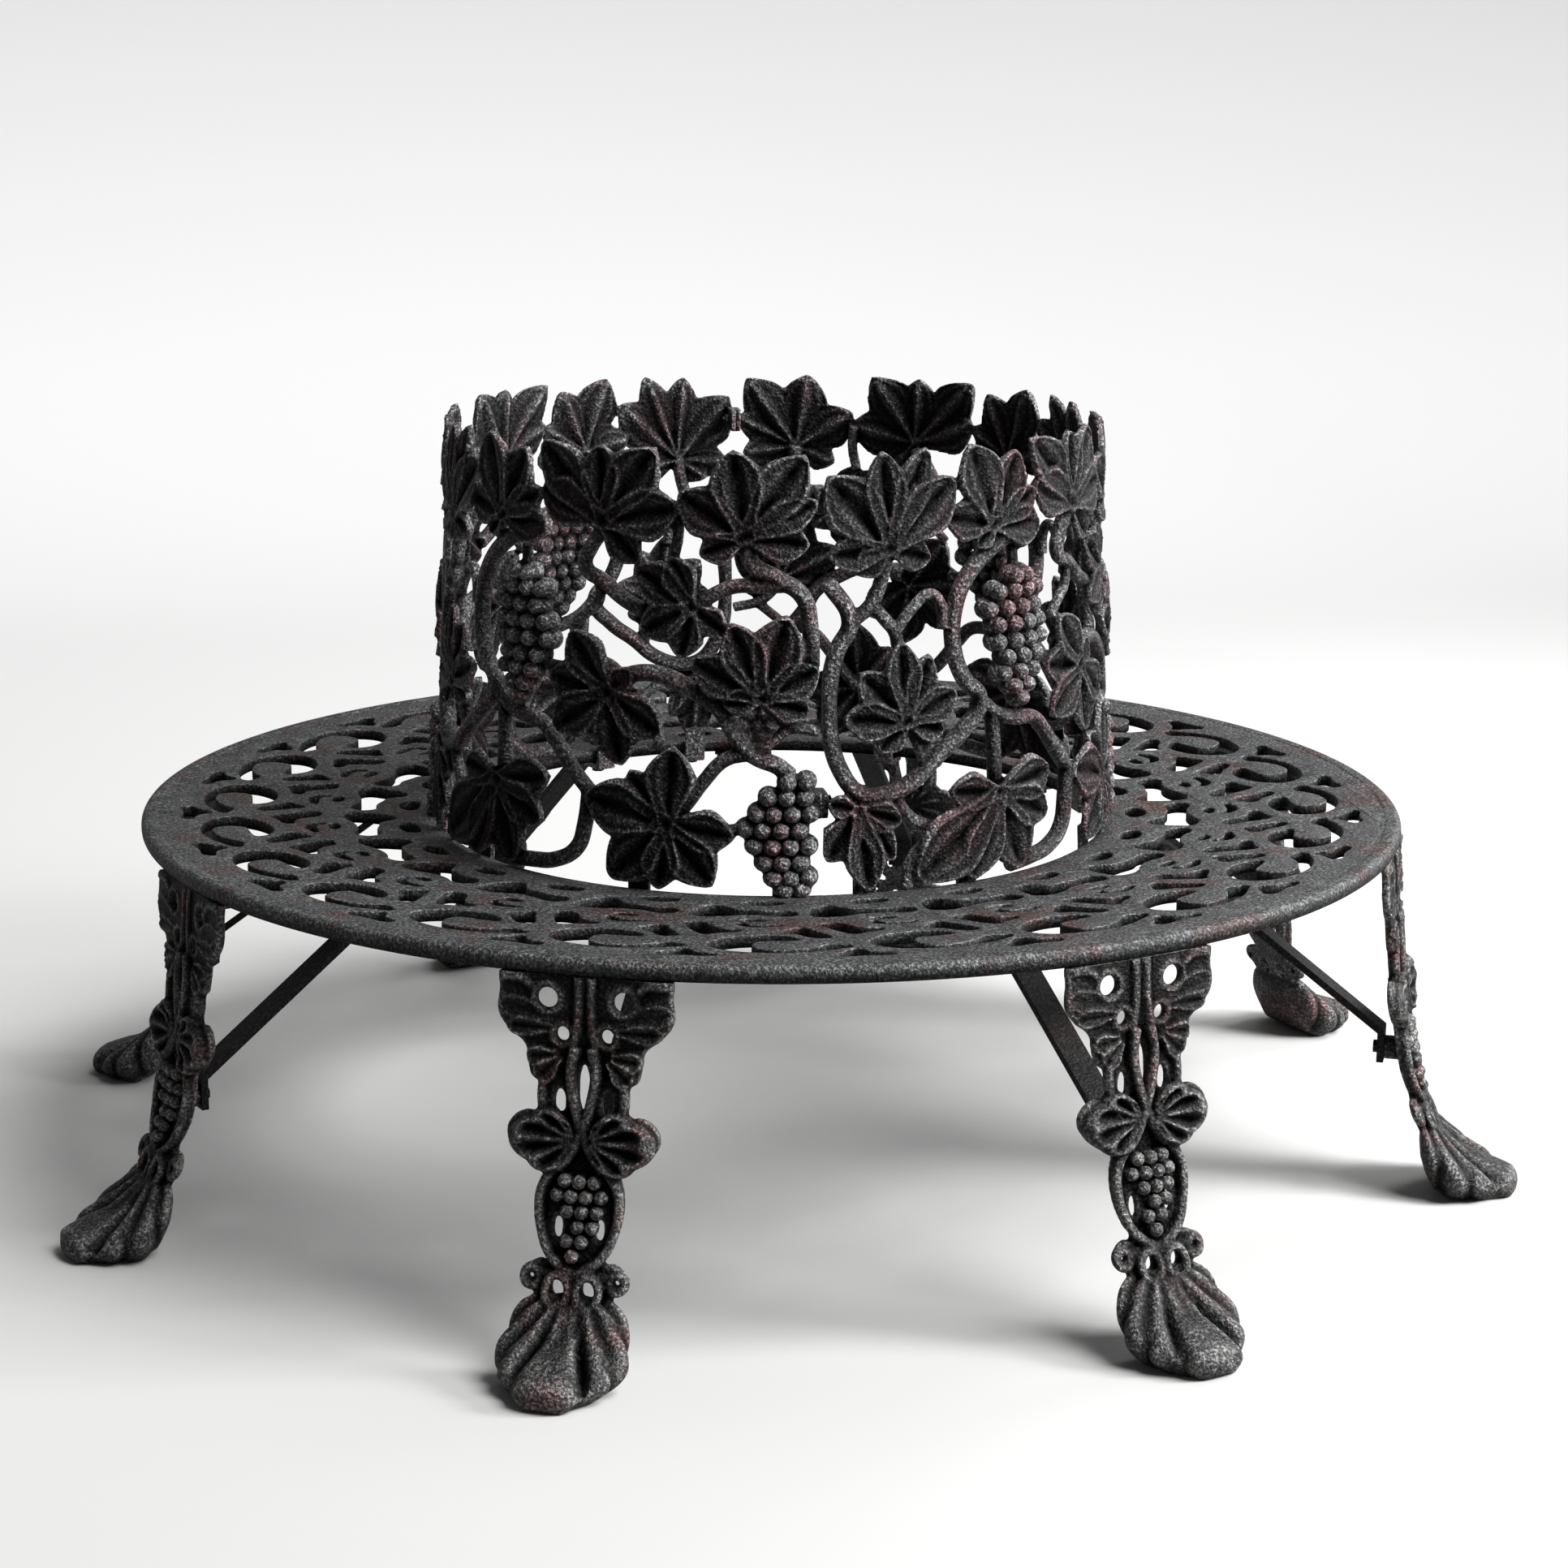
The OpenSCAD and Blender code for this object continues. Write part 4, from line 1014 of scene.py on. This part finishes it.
# %% Material helpers
def srgb(code):
    """A hex colour as Blender's linear numbers."""
    channels = [int(code[i:i + 2], 16) / 255 for i in (1, 3, 5)]
    linear = [c / 12.92 if c <= 0.04045 else ((c + 0.055) / 1.055) ** 2.4 for c in channels]
    return (*linear, 1)


def add(tree, kind, settings=(), links=()):
    """A node with its settings, as (socket or property, value), and links, as (socket, output)."""
    node = tree.nodes.new(kind)
    for name, value in settings:
        if hasattr(node, name):
            setattr(node, name, value)
        else:
            node.inputs[name].default_value = value
    for name, output in links:
        tree.links.new(output, node.inputs[name])
    return node


def ramp(tree, source, *stops):
    """A colour that changes with a pattern, given as stops of (level, colour)."""
    node = add(tree, "ShaderNodeValToRGB", links=[("Fac", source)])
    steps = node.color_ramp.elements
    while len(steps) < len(stops):
        steps.new(0.5)
    for step, (level, colour) in zip(steps, stops):
        step.position = level
        step.color = colour if isinstance(colour, tuple) else (colour, colour, colour, 1)
    return node.outputs["Color"]


def noise(tree, where, size_mm, detail=3.0):
    """Cloudy noise whose patches are about as large as said."""
    settings = [("Scale", 1 / (size_mm * MM)), ("Detail", detail), ("Roughness", 0.6)]
    return add(tree, "ShaderNodeTexNoise", settings, [("Vector", where)]).outputs["Fac"]


def blend(tree, mode, share, first, second):
    """Two colours mixed in a mode, where each may be a plain value or another node's output."""
    node = add(tree, "ShaderNodeMix", [("data_type", "RGBA"), ("blend_type", mode)])
    for socket, value in ((0, share), (6, first), (7, second)):
        if isinstance(value, (float, tuple)):
            node.inputs[socket].default_value = value
        else:
            tree.links.new(value, node.inputs[socket])
    return node.outputs[2]


print("pure white is", srgb("#ffffff"))

# %% [markdown]
# ## Sand-cast iron
# Old sand-cast iron is never one colour. The sand leaves a coarse grain, and the small sparks of
# light it catches are painted into the colour as lighter flecks, thin rust tints whole patches a
# dull maroon, hands and coats wear the seat smooth and grey, and the toes are rubbed bright.
# Painted shade darkens the hollows and painted highlights lighten the raised edges. One function
# mixes all this from three noises and the map of wear and painted shade.


# %% Sand-cast iron
GRIT_MM, MOTTLE_MM, RUST_MM = 3.4, 26, 85


def sand_cast_iron(name, dark, light, rust, rust_share, grain, rough, wear_and_shade_stops=None,
                   painted_glint_colour="#565654"):
    """Black cast iron from a sand mould: grain with painted glints, mottling, rust tint, rubbed
    high spots with painted highlights, and painted shade in the hollows. The grain of real moulding
    sand is finer; it is drawn as coarse as it needs to be to show."""
    material = bpy.data.materials.new(name)
    material.use_nodes = True
    tree = material.node_tree
    shader = tree.nodes["Principled BSDF"]
    where = add(tree, "ShaderNodeTexCoord").outputs["Object"]
    grit = noise(tree, where, GRIT_MM)
    mottle = noise(tree, where, MOTTLE_MM)
    body = ramp(tree, mottle, (0.36, srgb(dark)), (0.68, srgb(light)))
    clouds = noise(tree, where, RUST_MM, 4.0)
    patch = ramp(tree, clouds, (0.91 - rust_share, 0.0), (1.04 - rust_share, 1.0))
    tinted = blend(tree, "MIX", patch, body, srgb(rust))
    sand = ramp(tree, grit, (0.38, 0.25), (0.50, 0.9), (0.64, 2.2))
    tinted = blend(tree, "MULTIPLY", 1.0, tinted, sand)
    # painted glints: flecks of the grain painted lighter into the base colour, and with a wear map
    # also scaled by its painted shade and highlights
    painted_glint_mask = ramp(tree, grit, (0.54, 0.0), (0.76, 1.0))
    if wear_and_shade_stops:
        # the wear and shade map darkens the hollows as painted shade, lightens raised edges as wear
        # and painted highlight, and sets the shine, low in the hollows
        wear_and_shade = add(tree, "ShaderNodeAttribute", [("attribute_name", "wear_and_shade")]).outputs["Fac"]
        wear_and_shade_factor = ramp(tree, wear_and_shade, *wear_and_shade_stops)
        tinted = blend(tree, "MULTIPLY", 1.0, tinted, wear_and_shade_factor)
        shine = ramp(tree, wear_and_shade, (0.15, 0.03), (0.5, 0.35), (0.9, 0.8))
        tree.links.new(shine, shader.inputs["Specular IOR Level"])
        painted_glint_mask = blend(tree, "MULTIPLY", 1.0, painted_glint_mask, wear_and_shade_factor)
    painted_glint = blend(tree, "MULTIPLY", 1.0, painted_glint_mask, srgb(painted_glint_colour))
    tree.links.new(blend(tree, "ADD", 1.0, tinted, painted_glint), shader.inputs["Base Color"])
    shader.inputs["Metallic"].default_value = 0.4
    dull = add(tree, "ShaderNodeMapRange", [("To Min", rough + 0.2), ("To Max", rough - 0.2)],
               [("Value", grit)]).outputs["Result"]
    tree.links.new(dull, shader.inputs["Roughness"])
    relief = add(tree, "ShaderNodeBump", [("Strength", grain), ("Distance", 0.006)],
                 [("Height", grit)])
    tree.links.new(relief.outputs["Normal"], shader.inputs["Normal"])
    return material


print("grain, mottling and rust are", GRIT_MM, MOTTLE_MM, RUST_MM, "mm large")

# %% [markdown]
# ## Five kinds of iron
# Vine and legs are painted darkest in their hollows, as painted shade, and bright on their edges,
# as wear and painted highlight. The seat is greyer and smoother. Braces are wrought bars and the
# screws are forged, both nearly black. Each piece gets its iron and is told which body it rides on.


# %% Dress the pieces
# colour factors along the wear and shade map: hollows painted near black as painted shade, raised
# edges up to six and a half times brighter as wear and painted highlight
CARVED_WEAR_AND_SHADE = [(0.14, 0.04), (0.5, 0.8), (0.7, 2.4), (0.9, 6.5)]
# seat factors: the walls of the openings painted near black as painted shade, the face grey from
# wear, the rim grey from wear and a painted highlight
SEAT_WEAR_AND_SHADE = [(0.0, 0.05), (0.5, 0.4), (1.0, 1.2)]
vine_iron = sand_cast_iron("sand_cast_iron_vine", "#1b1b1c", "#313132", "#2e2123",
                           0.41, 0.8, 0.42, CARVED_WEAR_AND_SHADE)
seat_iron = sand_cast_iron("sand_cast_iron_worn_seat", "#3c3d3e", "#545556", "#493633",
                           0.38, 0.5, 0.50, SEAT_WEAR_AND_SHADE, "#6c6c6a")
leg_iron = sand_cast_iron("sand_cast_iron_leg", "#1d1d1e", "#343433", "#302222",
                          0.39, 0.7, 0.44, CARVED_WEAR_AND_SHADE, "#3e3e3d")
bar_iron = sand_cast_iron("wrought_bar_iron", "#141414", "#1f1f1f", "#241a18",
                          0.36, 0.4, 0.5, painted_glint_colour="#303030")
screw_iron = sand_cast_iron("forged_screw_iron", "#181716", "#22201e", "#2b1f1c",
                            0.4, 0.3, 0.45, painted_glint_colour="#303030")


def dress(obj, material):
    """A piece gets its iron and rides on the root."""
    obj.data.materials.clear()
    obj.data.materials.append(material)
    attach(obj, "root")


for piece in back_pieces:
    smooth(piece.data)
    dress(piece, vine_iron)
for piece in seat_pieces:
    dress(piece, seat_iron)
for piece in leg_pieces:
    smooth(piece.data)
    dress(piece, leg_iron)
for name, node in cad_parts.items():
    plain = bar_iron if name.startswith("brace_") and name[-1].isdigit() else screw_iron
    for place_of in node.material_slots:
        place_of.material = plain
print("five kinds of iron are ready")

# %% [markdown]
# ## Light
# Broad soft light comes mostly from the upper right, so the left side falls into shade.


# %% Lamps
LAMP_AIM = (0, 0, 0.5)


def turned(way):
    """The turn that makes a lamp look along a direction."""
    return Vector(way).to_track_quat("-Z", "Y").to_euler()


def softbox(name, spot, size, power):
    """A broad lamp, in metres and watts, that looks at the bench."""
    lamp = bpy.data.lights.new(name, "AREA")
    lamp.shape = "RECTANGLE"
    lamp.size, lamp.size_y = size
    lamp.energy = power
    holder = shown(name, lamp)
    holder.location = spot
    holder.rotation_euler = turned(Vector(LAMP_AIM) - Vector(spot))


sun = bpy.data.lights.new("key_light", "SUN")
sun.energy = 2.8
sun.angle = math.radians(34)
shown("key_light", sun).rotation_euler = turned((-1.15, 0.7, -1.8))
softbox("top_light", (0.9, 0.9, 3.8), (3.0, 3.0), 40)
softbox("side_light", (3.2, -1.3, 1.9), (1.0, 1.0), 105)
softbox("edge_light", (2.8, 1.6, 1.9), (0.8, 1.6), 26)
print("the lamps are up")

# %% [markdown]
# ## Floor
# The bench stands on a seamless paper sweep, in metres: flat under the feet, then bent up in a
# quarter circle. The camera sees it pale, and painted paler behind the bench, as painted light on
# the far floor and wall. To the light it is a mid grey, so that it doesn't fill every shadow.

# %% Paper sweep
BEND_Y, BEND_R = 3.6, 2.6
SWEEP_NEAR, SWEEP_LONG, SWEEP_HALF = 28, 40, 30
sweep = bmesh.new()
for vert in flat_grid(sweep, 1, 120, 1):
    run = (vert.co.y + 1) * SWEEP_LONG / 2 - SWEEP_NEAR
    past = min(max(run - BEND_Y, 0) / BEND_R, math.pi / 2)
    up = max(run - BEND_Y - BEND_R * math.pi / 2, 0)
    y = min(run, BEND_Y) + BEND_R * math.sin(past)
    vert.co = (vert.co.x * SWEEP_HALF, y, BEND_R * (1 - math.cos(past)) + up)
floor = shown("floor", to_mesh(sweep, "floor"))
smooth(floor.data)
paper = bpy.data.materials.new("matt_white_paper_sweep")
paper.use_nodes = True
paper_tree = paper.node_tree
paper_shader = paper_tree.nodes["Principled BSDF"]
paper_shader.inputs["Roughness"].default_value = 0.9
seen = add(paper_tree, "ShaderNodeLightPath").outputs["Is Camera Ray"]
place_on = add(paper_tree, "ShaderNodeTexCoord").outputs["Object"]
along = add(paper_tree, "ShaderNodeSeparateXYZ", links=[("Vector", place_on)]).outputs["Y"]
# painted light: to the camera the paper is painted paler from 1 m to 5 m behind the middle
far = add(paper_tree, "ShaderNodeMapRange", [("From Min", 1.0), ("From Max", 5.0)],
          [("Value", along)])
painted_pale_paper = blend(paper_tree, "MIX", far.outputs["Result"], srgb("#e2e2e1"), srgb("#fafafa"))
tone = blend(paper_tree, "MIX", seen, srgb("#8c8c8b"), painted_pale_paper)
paper_tree.links.new(tone, paper_shader.inputs["Base Color"])
floor.data.materials.append(paper)
print("the paper is", SWEEP_LONG, "m long")

# %% [markdown]
# ## World
# The world looks nearly white to the camera, but it lights the bench only faintly.

# %% World
world = bpy.data.worlds.new("studio")
scene.world = world
world.use_nodes = True
background = world.node_tree.nodes["Background"]
background.inputs["Color"].default_value = srgb("#f0f0f0")
sky_seen = add(world.node_tree, "ShaderNodeLightPath").outputs["Is Camera Ray"]
glow = add(world.node_tree, "ShaderNodeMapRange", [("To Min", 0.06), ("To Max", 0.85)],
           [("Value", sky_seen)])
world.node_tree.links.new(glow.outputs["Result"], background.inputs["Strength"])
scene.view_settings.view_transform = "Standard"
print("the world glows white")

# %% [markdown]
# ## The end

# %% Finish
bpy.context.view_layer.update()
